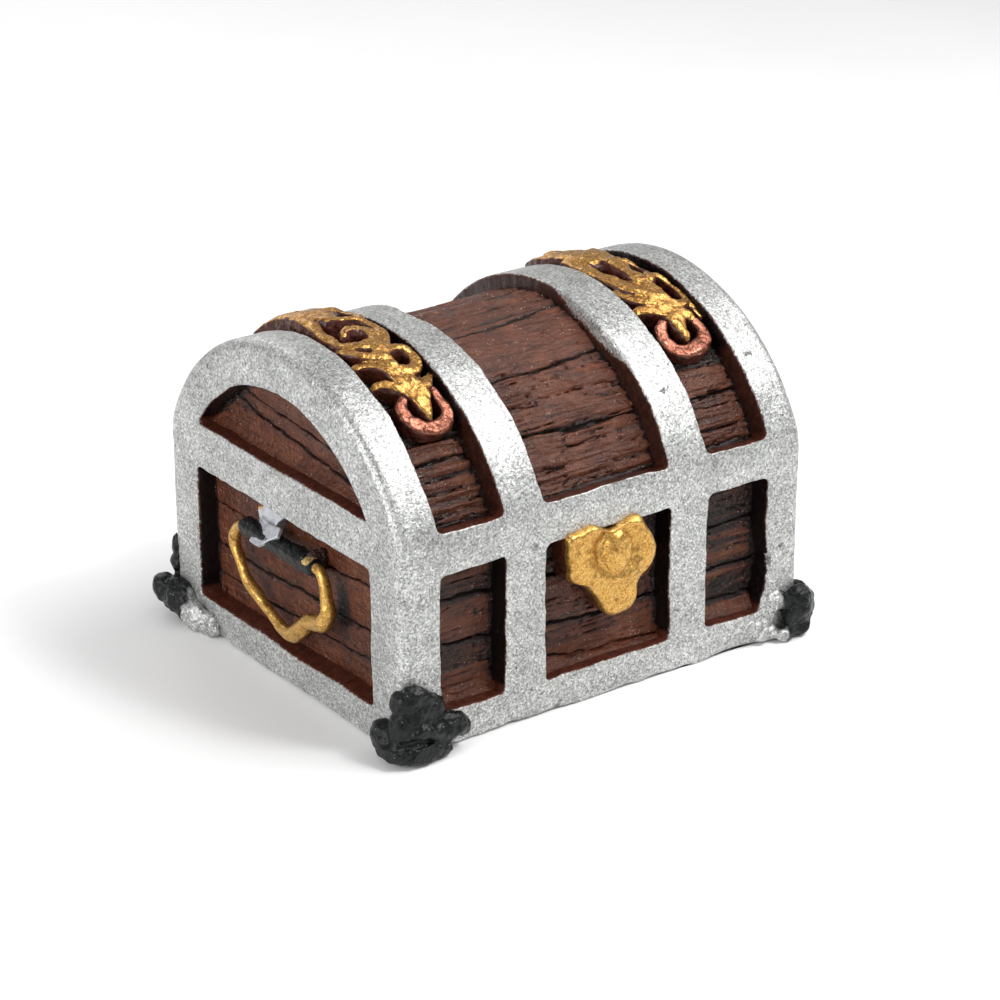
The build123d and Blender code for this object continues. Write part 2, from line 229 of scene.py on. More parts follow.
def zipper(points, loop_a, loop_b):
    """Triangles between two closed loops that start near each other and run the same way."""
    def spans(loop):
        ring = points[loop + [loop[0]]]
        length = np.concatenate([[0], np.cumsum(np.linalg.norm(np.diff(ring, axis=0), axis=1))])
        return length / length[-1]
    at_a, at_b = spans(loop_a), spans(loop_b)
    i, j, faces = 0, 0, []
    while i < len(loop_a) or j < len(loop_b):
        a, b = loop_a[i % len(loop_a)], loop_b[j % len(loop_b)]
        if j == len(loop_b) or (i < len(loop_a) and at_a[i + 1] <= at_b[j + 1]):
            faces.append((a, b, loop_a[(i + 1) % len(loop_a)]))
            i += 1
        else:
            faces.append((a, b, loop_b[(j + 1) % len(loop_b)]))
            j += 1
    return faces


def closed_sheet(front, back):
    """Points and faces of a thin solid between a detailed grid and a plainer grid behind it."""
    points = np.concatenate([front.reshape(-1, 3), back.reshape(-1, 3)])
    start = front.shape[0] * front.shape[1]
    faces = grid_faces(*front.shape[:2])
    faces += [face[::-1] for face in grid_faces(*back.shape[:2], start=start)]
    rim = zipper(points, border(*front.shape[:2]), border(*back.shape[:2], start=start))
    return points, faces + rim


def face_outward(piece):
    """Turns every face of a closed mesh to face out."""
    bpy.context.view_layer.objects.active = piece
    bpy.ops.object.select_all(action="DESELECT")
    piece.select_set(True)
    bpy.ops.object.mode_set(mode="EDIT")
    bpy.ops.mesh.select_all(action="SELECT")
    bpy.ops.mesh.normals_make_consistent(inside=False)
    bpy.ops.object.mode_set(mode="OBJECT")


# ---------------------------------------------------------------- bays in the ironwork
def inside_box(u, v, low_u, high_u, low_v, high_v):
    """Distance inside a rounded rectangle, negative outside it."""
    du = np.abs(u - (low_u + high_u) / 2) - (high_u - low_u) / 2 + BAY_CORNER
    dv = np.abs(v - (low_v + high_v) / 2) - (high_v - low_v) / 2 + BAY_CORNER
    outside = np.hypot(np.maximum(du, 0), np.maximum(dv, 0))
    return BAY_CORNER - outside - np.minimum(np.maximum(du, dv), 0)


def wobble(x, y, z, seed):
    """How far a hand-trimmed edge strays, in millimetres."""
    coarse = fbm(x, y, z, 7.0, seed, 2)
    fine = fbm(x, y, z, 1.3, seed + 9, 2)
    return EDGE_WOBBLE * (0.85 * coarse + 0.25 * fine)


def pooled_wall(above_bottom, inside):
    """1 on the walls of a bay that get painted shade and dark wash, 0 on the bottom wall, which is plain
    brown.
    """
    return smooth_step(above_bottom - np.maximum(inside, 0), 0.2, 0.8)


def wall_depth(inside):
    """Depth below the ironwork's face, from the distance inside a bay."""
    return HIDDEN_DEPTH * np.sin(np.clip(inside / WALL_RUN, 0, 1) * math.pi / 2) ** 2


def away_from_seam(z):
    """0 at the seam, where both castings have to meet cleanly, and 1 from 1.5 mm away."""
    return smooth_step(np.abs(z - SEAM_Z), 0.0, 1.5)


def skin_wave(x, y, z, seed):
    """Soft hollows in a cast face, always inwards."""
    wide = 0.5 + 0.5 * fbm(x, y, z, 11.0, seed, 2)
    small = 0.5 + 0.5 * fbm(x, y, z, 2.2, seed + 5, 2)
    return SKIN_WAVE * np.clip(0.75 * wide + 0.3 * small, 0, 1.2)


BAYS = [(-POST_X, -STRAP_OUT), (-STRAP_IN, STRAP_IN), (STRAP_OUT, POST_X)]
BAY_WALLS = [wall for low, high in BAYS for wall in (low + WALL_RUN / 2, high - WALL_RUN / 2)]
END_BAY = (-abs(POST_Y), abs(POST_Y))
BASE_Z = (BAND_TOP, BASE_RAIL_Z)


# ---------------------------------------------------------------- the body's ironwork
def base_side(side, u, z, depth):
    """Point on one side wall of the body. side is front, right, rear or left."""
    u, z, depth = np.broadcast_arrays(u, z, depth)
    if side == "front":
        return np.stack([u, depth - HALF_D, z], axis=-1)
    if side == "rear":
        return np.stack([u, HALF_D - depth, z], axis=-1)
    if side == "right":
        return np.stack([HALF_W - depth, u, z], axis=-1)
    return np.stack([depth - HALF_W, u, z], axis=-1)


def walk_round(half_w, half_d, corner, long_run, short_run, turn_steps):
    """Places round an upright box with rounded corners, from the left end of its front. Gives each
    place, its outward normal, its position along its side and its side's number, -1 in a corner."""
    places, normals, positions, numbers = [], [], [], []
    sides = (((0, -1), (1, 0)), ((1, 0), (0, 1)), ((0, 1), (-1, 0)), ((-1, 0), (0, -1)))
    for number, (normal, along) in enumerate(sides):
        normal, along = np.array(normal, float), np.array(along, float)
        out, reach, run = (half_w, half_d, short_run) if number % 2 else (half_d, half_w, long_run)
        places += [normal * out + along * u for u in run]
        normals += [normal] * len(run)
        positions += list(run)
        numbers += [number] * len(run)
        middle = normal * (out - corner) + along * (reach - corner)
        for angle in np.linspace(0, math.pi / 2, turn_steps)[1:-1]:
            away = normal * math.cos(angle) + along * math.sin(angle)
            places.append(middle + corner * away)
            normals.append(away)
            positions.append(0.0)
            numbers.append(-1)
    return [np.array(values) for values in (places, normals, positions, numbers)]


def base_ironwork():
    """The silver lattice round the body as one closed casting."""
    short_edges = [END_BAY[0] + WALL_RUN / 2, END_BAY[1] - WALL_RUN / 2]
    front_u = graded(EDGE_ROUND - HALF_W, HALF_W - EDGE_ROUND, BAY_WALLS)
    end_u = graded(EDGE_ROUND - HALF_D, HALF_D - EDGE_ROUND, short_edges)
    z = graded(0.0, SEAM_Z - SEAM_GAP, [0.0, BASE_Z[0] + WALL_RUN / 2, BASE_Z[1] - WALL_RUN / 2])
    places, normals, u, side = walk_round(HALF_W, HALF_D, EDGE_ROUND, front_u, end_u, 7)
    rows, columns = len(z), len(places)
    x = np.broadcast_to(places[:, 0], (rows, columns))
    y = np.broadcast_to(places[:, 1], (rows, columns))
    height = np.broadcast_to(z[:, None], (rows, columns))
    stray_u = wobble(x, y, height, 11)
    stray_z = wobble(x, y, height, 37)
    # Paint has filled the lower right corner of the front right bay, and left a nick above it.
    corner_lump = 1.7 * hump(x, POST_X, 1.6) * hump(height, BASE_Z[0], 2.2)
    notch = 0.8 * hump(x, POST_X, 1.4) * hump(height, 13.5, 1.4)
    stray_u = stray_u + (corner_lump - notch) * (y < -HALF_D + EDGE_ROUND)
    inside = np.full((rows, columns), NO_BAY)
    # Painted shade and dark wash on the bay walls above each bay's bottom wall.
    pool = pooled_wall(z[:, None] + stray_z - BASE_Z[0], 0.8)
    for here, bays in ((side % 2 == 0, BAYS), ((side == 1) | (side == 3), [END_BAY])):
        for low, high in bays:
            spot = inside_box((u + stray_u)[:, here], (height + stray_z)[:, here], low, high, *BASE_Z)
            inside[:, here] = np.maximum(inside[:, here], spot)
    foot_round = np.clip(0.85 + 0.9 * fbm(x, y, 0.0, 3.5, 57, 3), 0.2, 1.6)
    underside = np.clip(foot_round - height, 0, foot_round)
    depth = skin_wave(x, y, height, 51) * away_from_seam(height)
    depth = depth + foot_round - np.sqrt(foot_round**2 - underside**2)
    depth = np.maximum(depth, wall_depth(inside))
    skin = np.stack([x - depth * normals[:, 0], y - depth * normals[:, 1], height], axis=-1)
    deep_w, deep_d = HALF_W - HIDDEN_DEPTH, HALF_D - HIDDEN_DEPTH
    corners = [(-deep_w, -deep_d), (deep_w, -deep_d), (deep_w, deep_d), (-deep_w, deep_d)]
    back = np.array([[(cx, cy, level) for cx, cy in corners] for level in (z[0], z[-1])])
    points = np.concatenate([skin.reshape(-1, 3), back.reshape(-1, 3)])
    start = rows * columns
    faces = grid_faces(rows, columns, wrap=True)
    faces += [face[::-1] for face in grid_faces(2, 4, start=start, wrap=True)]
    bottom = zipper(points, list(range(columns)), [start + i for i in range(4)])
    top_ring = [(rows - 1) * columns + c for c in range(columns)]
    top = zipper(points, top_ring, [start + 4 + i for i in range(4)])
    edge = np.concatenate([inside.ravel(), np.full(8, NO_BAY)])
    pool = np.concatenate([pool.ravel(), np.ones(8)])
    names = ["bottom_band"] + [n for n in nodes if n.startswith(("post_", "strap_", "base_rail_"))]
    make_piece(
        "chest_ironwork", points, faces + bottom + top, "chest", "silver_paint", names,
        silver_paint, edge=edge, pool=pool,
    )


# ---------------------------------------------------------------- the lid's outer form
def lid_arcs():
    """Where the lid's profile changes: half the crown arc, the shoulder and the upright side."""
    centre_y = HALF_D - SHOULDER_ROUND
    rise = math.sqrt((LID_RADIUS - SHOULDER_ROUND) ** 2 - centre_y**2)
    crown = math.atan2(centre_y, rise)
    shoulder_z = ARC_Z + rise
    return crown, centre_y, shoulder_z


CROWN_ANGLE, SHOULDER_Y, SHOULDER_Z = lid_arcs()
CROWN_RUN = LID_RADIUS * CROWN_ANGLE
SHOULDER_RUN = SHOULDER_ROUND * (math.pi / 2 - CROWN_ANGLE)
LID_RUN = CROWN_RUN + SHOULDER_RUN + SHOULDER_Z - SEAM_Z - SEAM_GAP


def profile(run):
    """Place and outward normal on the lid's profile, run millimetres from the crown towards the back."""
    run = np.asarray(run, float)
    side, far = np.sign(run), np.abs(run)
    crown_angle = np.minimum(far, CROWN_RUN) / LID_RADIUS
    turn = CROWN_ANGLE + np.clip(far - CROWN_RUN, 0, SHOULDER_RUN) / SHOULDER_ROUND
    angle = np.where(far <= CROWN_RUN, crown_angle, turn)
    drop = np.maximum(far - CROWN_RUN - SHOULDER_RUN, 0)
    on_crown = far <= CROWN_RUN
    y = np.where(on_crown, LID_RADIUS * np.sin(angle), SHOULDER_Y + SHOULDER_ROUND * np.sin(angle))
    z = np.where(on_crown, ARC_Z + LID_RADIUS * np.cos(angle), SHOULDER_Z + SHOULDER_ROUND * np.cos(angle))
    return side * y, z - drop, side * np.sin(angle), np.cos(angle)


def lid_point(x, run, depth):
    """Point below the barrel's face."""
    x, run, depth = np.broadcast_arrays(x, run, depth)
    y, z, out_y, out_z = profile(run)
    return np.stack([x, y - depth * out_y, z - depth * out_z], axis=-1)


def run_at_height(height):
    """Distance from the crown at which the profile reaches a height."""
    table = np.linspace(0, LID_RUN, 4000)
    return float(np.interp(-height, -profile(table)[1], table))


LID_RAIL_RUN = run_at_height(LID_RAIL_Z)
LID_FOOT_Z = SEAM_Z + SEAM_GAP


def lunette_inside(y, z):
    """Distance inside the arched panel of the end wall."""
    radial = LUNETTE_RADIUS - np.hypot(y, z - ARC_Z)
    above = z - LUNETTE_Z
    corner = 0.8
    both = np.hypot(np.maximum(corner - radial, 0), np.maximum(corner - above, 0))
    return np.where(both > 0, corner - both, np.minimum(radial, above))


def end_fan(run, inset):
    """Lines from the rounded edge of the end wall down to the middle of its bottom edge."""
    y, z, out_y, out_z = profile(run)
    start = np.stack([y - inset * out_y, np.maximum(z - inset * out_z, LID_FOOT_Z)], axis=-1)
    goal = np.stack([NARROWING * y, np.full_like(y, LID_FOOT_Z)], axis=-1)
    return start, goal


# Points on a fan line in the band, down a wall, over the panel, up a wall and in the band again.
FAN_COUNTS = (9, 15, 14, 15, 9)


def fan_steps(start, goal):
    """Shares along one fan line, close together where it enters and leaves the lunette."""
    length = float(np.hypot(*(goal - start)))
    share = np.linspace(0, 1, 400)
    path = start + share[:, None] * (goal - start)
    radial = np.hypot(path[:, 0], path[:, 1] - ARC_Z) - LUNETTE_RADIUS
    enter = length * share[np.argmax(radial < 0)] if (radial < 0).any() else length
    leave = length * share[np.argmax(path[:, 1] < LUNETTE_Z)]
    first, last = sorted((enter, leave))
    middle = (first + last) / 2
    reach = WALL_RUN + 0.5
    stops = [0.0, first - 0.5, min(first + reach, middle), max(last - reach, middle), last + 0.5, length]
    stops = np.maximum.accumulate(np.clip(stops, 0, length))
    steps = [np.linspace(a, b, n, endpoint=False) for a, b, n in zip(stops, stops[1:], FAN_COUNTS)]
    return np.concatenate(steps + [[length]]) / length


def lid_ironwork():
    """The silver lattice over the lid and down both ends as one closed casting."""
    flat = HALF_W - EDGE_ROUND
    x_run = graded(-flat, flat, BAY_WALLS)
    rail = LID_RAIL_RUN - WALL_RUN / 2
    runs = graded(-LID_RUN, LID_RUN, [-rail, rail])
    fans = []
    start, goal = end_fan(runs, EDGE_ROUND)
    for row in range(len(runs)):
        share = fan_steps(start[row], goal[row])[:, None]
        fans.append(start[row] + share * (goal[row] - start[row]))
    fans = np.array(fans)
    y, z, out_y, out_z = (v[:, None] for v in profile(runs))
    turn = np.linspace(0, math.pi / 2, 7)[:-1]
    blocks, inside_blocks, pool_blocks = [], [], []
    for side in (-1, 1):
        panel_y, panel_z = fans[:, :, 0], fans[:, :, 1]
        panel_x = np.full_like(panel_y, side * HALF_W)
        stray = wobble(panel_x, panel_y, panel_z, 71)
        inside = lunette_inside(panel_y + stray, panel_z + 0.7 * stray)
        depth = np.maximum(skin_wave(panel_x, panel_y, panel_z, 53), wall_depth(inside))
        depth = np.where(inside > 0, depth, depth * away_from_seam(panel_z))
        panel = np.stack([panel_x - side * depth, panel_y, panel_z], axis=-1)
        round_x = side * (flat + EDGE_ROUND * np.sin(turn))
        wave = skin_wave(round_x[None, :], y, z, 53) * away_from_seam(z)
        inset = EDGE_ROUND * (1 - np.cos(turn)) + wave * np.cos(turn)
        bend_z = np.maximum(z - inset * out_z, LID_FOOT_Z)
        bend = np.stack([round_x - side * wave * np.sin(turn), y - inset * out_y, bend_z], axis=-1)
        end_block = np.concatenate([bend[:, 1:], panel], axis=1)
        end_inside = np.concatenate([np.full(bend[:, 1:].shape[:2], NO_BAY), inside], axis=1)
        blocks.append(end_block[:, ::side])
        inside_blocks.append(end_inside[:, ::side])
        # Painted shade and dark wash on the lunette's walls above its bottom wall.
        pool = pooled_wall(end_block[..., 2] - LUNETTE_Z, 0.8)
        pool_blocks.append(pool[:, ::side])
    grid_x, grid_run = np.meshgrid(x_run, runs)
    place = np.moveaxis(lid_point(grid_x, grid_run, 0.0), -1, 0)
    stray_x, stray_run = wobble(*place, 91), wobble(*place, 97)
    inside = np.full(grid_x.shape, NO_BAY)
    for low, high in BAYS:
        # The strap left of the middle bay is narrower over the crown.
        narrow = 1.1 * hump(grid_run, 0.0, 12.0) * (low == -STRAP_IN) * (grid_x < 0)
        edge_x, edge_run = grid_x + stray_x + narrow, grid_run + stray_run
        spot = inside_box(edge_x, edge_run, low, high, -LID_RAIL_RUN, LID_RAIL_RUN)
        inside = np.maximum(inside, spot)
    side_bay = np.abs(grid_x) > (STRAP_IN + STRAP_OUT) / 2
    # Painted shade on the lid's bay walls: the side bays go dark towards the crown beside the scrolls, the
    # right half of the middle bay is darker, and the walls above the front bottom wall are darkened too.
    pool = np.where(side_bay, smooth_step(grid_run, -27.0, -22.0), 0.35 * (grid_x > 0))
    pool = np.maximum(pool, 0.55 * pooled_wall(grid_run + LID_RAIL_RUN, 0.8))
    wave = skin_wave(*place, 53) * away_from_seam(place[2])
    top = lid_point(grid_x, grid_run, np.maximum(wave, wall_depth(inside)))
    skin = np.concatenate([blocks[0], top, blocks[1]], axis=1)
    # Silver has run over the right edge of the middle bay, in front of the crown.
    spill = 0.3 * hump(grid_run, -13.0, 9.0, 4) * (np.abs(grid_x - STRAP_IN) < 2)
    all_inside = np.concatenate([inside_blocks[0], inside - spill, inside_blocks[1]], axis=1)
    points, faces = closed_sheet(skin, lid_back(HIDDEN_DEPTH, rows=60))
    edge, full_wall_shade = np.full(len(points), NO_BAY), np.ones(len(points))
    edge[: all_inside.size] = all_inside.ravel()
    full_wall_shade[: all_inside.size] = np.concatenate([pool_blocks[0], pool, pool_blocks[1]], axis=1).ravel()
    names = [n for n in nodes if n.startswith(("lid_rail_", "lid_end_band_", "lid_strap_"))]
    make_piece(
        "lid_ironwork", points, faces, "lid", "silver_paint", names, silver_paint, edge=edge, pool=full_wall_shade,
    )


def lid_back(depth, rows, inner_steps=3):
    """Plain grid that follows the inside of the lid at one depth: end wall, barrel, end wall."""
    runs = np.linspace(-LID_RUN, LID_RUN, rows)
    y, z, out_y, out_z = profile(runs)
    rim = np.stack([y - depth * out_y, np.maximum(z - depth * out_z, LID_FOOT_Z)], axis=-1)
    goal = np.stack([NARROWING * rim[:, 0], np.full(rows, LID_FOOT_Z)], axis=-1)
    columns = []
    for side in (-1, 1):
        x = np.full(rows, side * (HALF_W - depth))
        shares = np.linspace(1, 0, inner_steps) if side < 0 else np.linspace(0, 1, inner_steps)
        for share in shares:
            place = rim + share * (goal - rim)
            columns.append(np.stack([x, place[:, 0], place[:, 1]], axis=-1))
    return np.stack(columns, axis=1)


# ---------------------------------------------------------------- planks
def corner_shade(inside):
    """Painted shade along the walls of a bay."""
    return 0.55 * hump(np.maximum(inside, 0.45), 0.45, 0.65)


def plank_relief(u, v, gaps, seed, ridge=0.0, grain_depth=0.17, half_gap=0.17):
    """Depth added to a planked panel: open joints, tilted boards and combed grain along u."""
    drift = 0.35 * fbm(u, 0.0, 0.0, 9.0, seed, 2)
    depth = 0.10 * fbm(u, v, 0.0, (16.0, 5.0, 1.0), seed + 1, 2)
    order = sorted(gaps, key=lambda gap: gap[0])
    centres = [v0 + slope * u + drift + 0.15 * fbm(u, v0, 0.0, 1.6, seed + 3, 2) for v0, slope in order]
    board = np.zeros(np.broadcast(u, v).shape)
    for number, centre in enumerate(centres):
        board = np.where(v > centre, number + 1, board)
    lift = np.random.default_rng(seed).uniform(-0.12, 0.16, len(centres) + 1)
    depth = depth + lift[board.astype(int)]
    for number, centre in enumerate(centres):
        open_width = half_gap * (1.0 + 0.6 * fbm(u, number, 0.0, 4.0, seed + 4, 2))
        depth = depth + JOINT_DEPTH * hump(v, centre, np.maximum(open_width, 0.07))
        depth = depth + JOINT_SHOULDER * hump(v, centre, 0.7)
    bend = 0.5 * fbm(u, v, 0.0, (11.0, 7.0, 1.0), seed + 6, 2)
    grain = fbm(u, v + bend, board, (9.0, 0.55, 1.0), seed + 7, 3)
    cuts = np.abs(fbm(u, v + bend, board, (7.0, 1.1, 1.0), seed + 8, 2))
    depth = depth + grain_depth * (grain + 1.9 * hump(cuts, 0.0, 0.05) * (grain > -0.1))
    if ridge:
        depth = depth + ridge * np.sin(2 * math.pi * (v + 0.4 * bend) / 1.9)
    chips = fbm(u, v, 3.0, 0.9, seed + 12, 2)
    return depth + CHIP_DEPTH * smooth_step(chips, 0.62, 0.9)


def plank_panel(name, grid_u, grid_v, place, relief, painted_shade, body, rows=(0, -1), columns=(0, -1)):
    """A closed slab of planks. place turns grid and depth into points; depth and the extra darkening give
    painted shade.
    rows and columns pick the points that the plain back is made from."""
    depth = PROUD + np.clip(relief, -BOARD_SWELL, HIDDEN_DEPTH - PROUD - 0.12)
    back_u, back_v = (grid[rows, :][:, columns] for grid in (grid_u, grid_v))
    points, faces = closed_sheet(place(grid_u, grid_v, depth), place(back_u, back_v, HIDDEN_DEPTH))
    hollow = np.full(len(points), 0.8)
    hollow[: relief.size] = (relief + painted_shade).ravel()
    make_piece(name, points, faces, body, "brown_varnish", (), brown_varnish, hollow=hollow)


FINE_BOARDS = {"grain_depth": 0.08, "half_gap": 0.12}


def base_planks():
    """Boards in the eight bays of the body."""
    layouts = {
        "front_left": ("front", BAYS[0], [(21.5, 0.0), (14.4, -0.05)], 101),
        "front_centre": ("front", BAYS[1], [(20.6, 0.02), (12.4, -0.02), (6.6, -0.06)], 103),
        "front_right": ("front", BAYS[2], [(20.2, 0.01), (13.2, 0.0), (7.9, -0.02)], 107),
        "rear_left": ("rear", BAYS[0], [(20.8, 0.02), (13.1, -0.02)], 109),
        "rear_centre": ("rear", BAYS[1], [(22.0, 0.0), (14.6, 0.02), (8.0, 0.0)], 113),
        "rear_right": ("rear", BAYS[2], [(21.2, -0.03), (12.6, 0.02)], 127),
        "left": ("left", END_BAY, [(21.6, -0.03), (14.4, -0.03), (9.6, -0.03)], 131),
        "right": ("right", END_BAY, [(22.0, 0.02), (15.2, 0.02), (9.0, 0.01)], 137),
    }
    for name, (side, bay, gaps, seed) in layouts.items():
        u = np.linspace(bay[0] - SLAB_UNDERLAP, bay[1] + SLAB_UNDERLAP, int((bay[1] - bay[0]) / 0.3) + 8)
        z = np.linspace(BASE_Z[0] - SLAB_UNDERLAP, BASE_Z[1] + SLAB_UNDERLAP, 150)
        grid_u, grid_z = np.meshgrid(u, z)
        middle = (bay[0] + bay[1]) / 2
        fineness = FINE_BOARDS if side == "left" else {}
        relief = plank_relief(grid_u - middle, grid_z, gaps, seed, **fineness)
        painted_shade = corner_shade(inside_box(grid_u, grid_z + 1.5, *bay, BASE_Z[0], BASE_Z[1] + 1.5))
        if side in ("front", "rear"):
            # The boards swell out where they meet the bottom band.
            relief = relief - 1.5 * hump(grid_z, BASE_Z[0], 1.6)
            painted_shade = painted_shade + 0.2
        if side == "left":
            # Painted shadow of the handle's front limb towards the front, and painted shade along the back
            # edge.
            painted_shade = painted_shade + 0.7 * hump(grid_u, -12.0, 1.6) * hump(grid_z, 16.4, 3.6)
            painted_shade = painted_shade + 0.4 * smooth_step(grid_u, 22.5, 24.0)
        place = partial(base_side, side)
        plank_panel(f"planks_{name}", grid_u, grid_z, place, relief, painted_shade, "chest")


def lid_planks():
    """Boards over the three bays of the lid."""
    layouts = {
        "left": (BAYS[0], [(-25.9, 0.0), (-13.0, 0.0), (0.0, 0.0), (12.5, 0.0), (25.5, 0.0)], 201, 0.13),
        "centre": (
            BAYS[1],
            [(-26.3, -0.04), (-15.6, 0.05), (-5.0, 0.09), (3.6, 0.12), (13.0, 0.05), (23.5, 0.0)],
            211, 0.0,
        ),
        "right": (BAYS[2], [(-27.4, 0.02), (-14.0, 0.0), (1.0, 0.0), (13.5, 0.0), (25.0, 0.0)], 223, 0.0),
    }
    for name, (bay, gaps, seed, ridge) in layouts.items():
        x = np.linspace(bay[0] - SLAB_UNDERLAP, bay[1] + SLAB_UNDERLAP, int((bay[1] - bay[0]) / 0.38) + 6)
        reach = LID_RAIL_RUN + SLAB_UNDERLAP
        runs = np.linspace(-reach, reach, 470)
        grid_x, grid_run = np.meshgrid(x, runs)
        middle = (bay[0] + bay[1]) / 2
        smooth_boards = hump(grid_run, -10.5, 6.0, 4) * (name == "centre")
        grain_depth = 0.25 - 0.20 * smooth_boards
        relief = plank_relief(grid_x - middle, grid_run * 0.91, gaps, seed, ridge, grain_depth)
        painted_shade = corner_shade(inside_box(grid_x, grid_run, *bay, -LID_RAIL_RUN, LID_RAIL_RUN))
        if name == "centre":
            # The middle boards are thicker and darker over the crown.
            crown = 1.2 * hump(grid_run, 1.0, 13.0)
            relief = relief - crown
            painted_shade = painted_shade + crown
        else:
            # Painted shade over the side bays' boards round and under the scrolls, from the scrolls' front
            # ends back.
            painted_shade = painted_shade + 0.5 * smooth_step(grid_run, -27.0, -23.0)
        if name == "left":
            painted_shade = painted_shade - 0.10
        rows = np.arange(0, len(runs), 8)
        plank_panel(f"planks_lid_{name}", grid_x, grid_run, lid_point, relief, painted_shade, "lid", rows)


def lunette_planks():
    """Boards in the arched panels of the lid's ends."""
    for name, side, seed in (("left", -1, 231), ("right", 1, 233)):
        radius = LUNETTE_RADIUS + SLAB_UNDERLAP
        low_z = LUNETTE_Z - SLAB_UNDERLAP
        half = math.sqrt(radius**2 - (low_z - ARC_Z) ** 2) - 0.3
        y = np.linspace(-half, half, 170)
        share = np.linspace(0, 1, 90)
        top = ARC_Z + np.sqrt(radius**2 - y**2)
        grid_y = np.broadcast_to(y, (len(share), len(y)))
        grid_z = low_z + share[:, None] * (top - low_z)
        gaps = [(38.6, 0.13 * -side), (41.6, 0.10 * -side)] if side < 0 else [(38.2, 0.03), (42.4, 0.0)]
        relief = plank_relief(grid_y, grid_z, gaps, seed, **FINE_BOARDS)
        relief = relief - 1.2 * hump(grid_z, LUNETTE_Z, 1.3)
        painted_shade = corner_shade(lunette_inside(grid_y, grid_z))
        place, columns = partial(base_side, name), np.arange(0, len(y), 13)
        plank_panel(f"planks_lunette_{name}", grid_y, grid_z, place, relief, painted_shade, "lid", columns=columns)


# ---------------------------------------------------------------- linings
def rectangle_ring(half_w, half_d, corner, z):
    """Points round an upright rectangle with rounded corners, the same number for any size."""
    long_run = np.linspace(corner - half_w, half_w - corner, 120)
    short_run = np.linspace(corner - half_d, half_d - corner, 100)
    ring = walk_round(half_w, half_d, corner, long_run, short_run, 6)[0]
    return np.column_stack([ring, np.full(len(ring), z)])


LINING_FOOT_Z = 0.25
LINING_TOP_Z = SEAM_Z - 0.12
INNER_CORNER = 1.0
OUTER_CORNER = 0.4


def base_lining():
    """The tub: walls, rim and floor behind the boards."""
    top_z = LINING_TOP_Z
    outer_w, outer_d = HALF_W - LINING_DEPTH, HALF_D - LINING_DEPTH
    inner_w, inner_d = tub_high[0] - WALL, tub_high[1] - WALL
    outer_z = np.linspace(LINING_FOOT_Z, top_z - 0.1, 6)
    rings = [rectangle_ring(outer_w, outer_d, OUTER_CORNER, z) for z in outer_z]
    rings.append(rectangle_ring(outer_w - 0.1, outer_d - 0.1, OUTER_CORNER, top_z))
    rings.append(rectangle_ring(inner_w + 0.35, inner_d + 0.35, INNER_CORNER, top_z))
    for z in np.linspace(top_z - 0.3, FLOOR_Z + 1.2, 60):
        ring = rectangle_ring(inner_w, inner_d, INNER_CORNER, z)
        rough = 0.13 * np.abs(fbm(*ring.T, 3.0, 301, 3))
        ring[:, :2] -= np.sign(ring[:, :2]) * rough[:, None] * smooth_step(top_z - z, 0.0, 1.5)
        rings.append(ring)
    rings.append(rectangle_ring(inner_w - 0.4, inner_d - 0.4, INNER_CORNER, FLOOR_Z + 0.3))
    rings.append(rectangle_ring(inner_w - 1.2, inner_d - 1.2, INNER_CORNER, FLOOR_Z))
    points, faces = np.concatenate(rings), tube_faces(len(rings), len(rings[0]))
    make_piece("tub_lining", points, faces, "chest", "brown_varnish", ["base_tub"], dark_varnish)


def lid_lining():
    """The hollow inside of the lid, behind the boards."""
    inside = lid_back(LINING_DEPTH + WALL - 1.2, rows=150, inner_steps=26)
    y_z = inside[..., 1:]
    rough = 0.2 * np.abs(fbm(*np.moveaxis(inside, -1, 0), 3.0, 311, 3))
    centre = np.array([0.0, ARC_Z])
    away = centre - y_z
    away /= np.linalg.norm(away, axis=-1, keepdims=True)
    calm = smooth_step(inside[..., 2] - SEAM_Z, 0.1, 1.5)
    inside[..., 1:] += away * (rough * calm)[..., None]
    barrel = lid_back(LINING_DEPTH, rows=150, inner_steps=26)
    points, faces = closed_sheet(inside, barrel[::3, ::3])
    make_piece("lid_lining", points, faces, "lid", "brown_varnish", ["lid_shell"], dark_varnish)


# ---------------------------------------------------------------- strokes, blobs and fusing
def through(points, steps=10):
    """Smooth curve through rows of numbers."""
    points = np.array(points, float)
    padded = np.vstack([2 * points[0] - points[1], points, 2 * points[-1] - points[-2]])
    rows = []
    for a, b, c, d in zip(padded, padded[1:], padded[2:], padded[3:]):
        for t in np.linspace(0, 1, steps, endpoint=False):
            rows.append(0.5 * (2 * b + (c - a) * t + (2 * a - 5 * b + 4 * c - d) * t**2
                               + (3 * b - a - 3 * c + d) * t**3))
    return np.array(rows + [points[-1]])


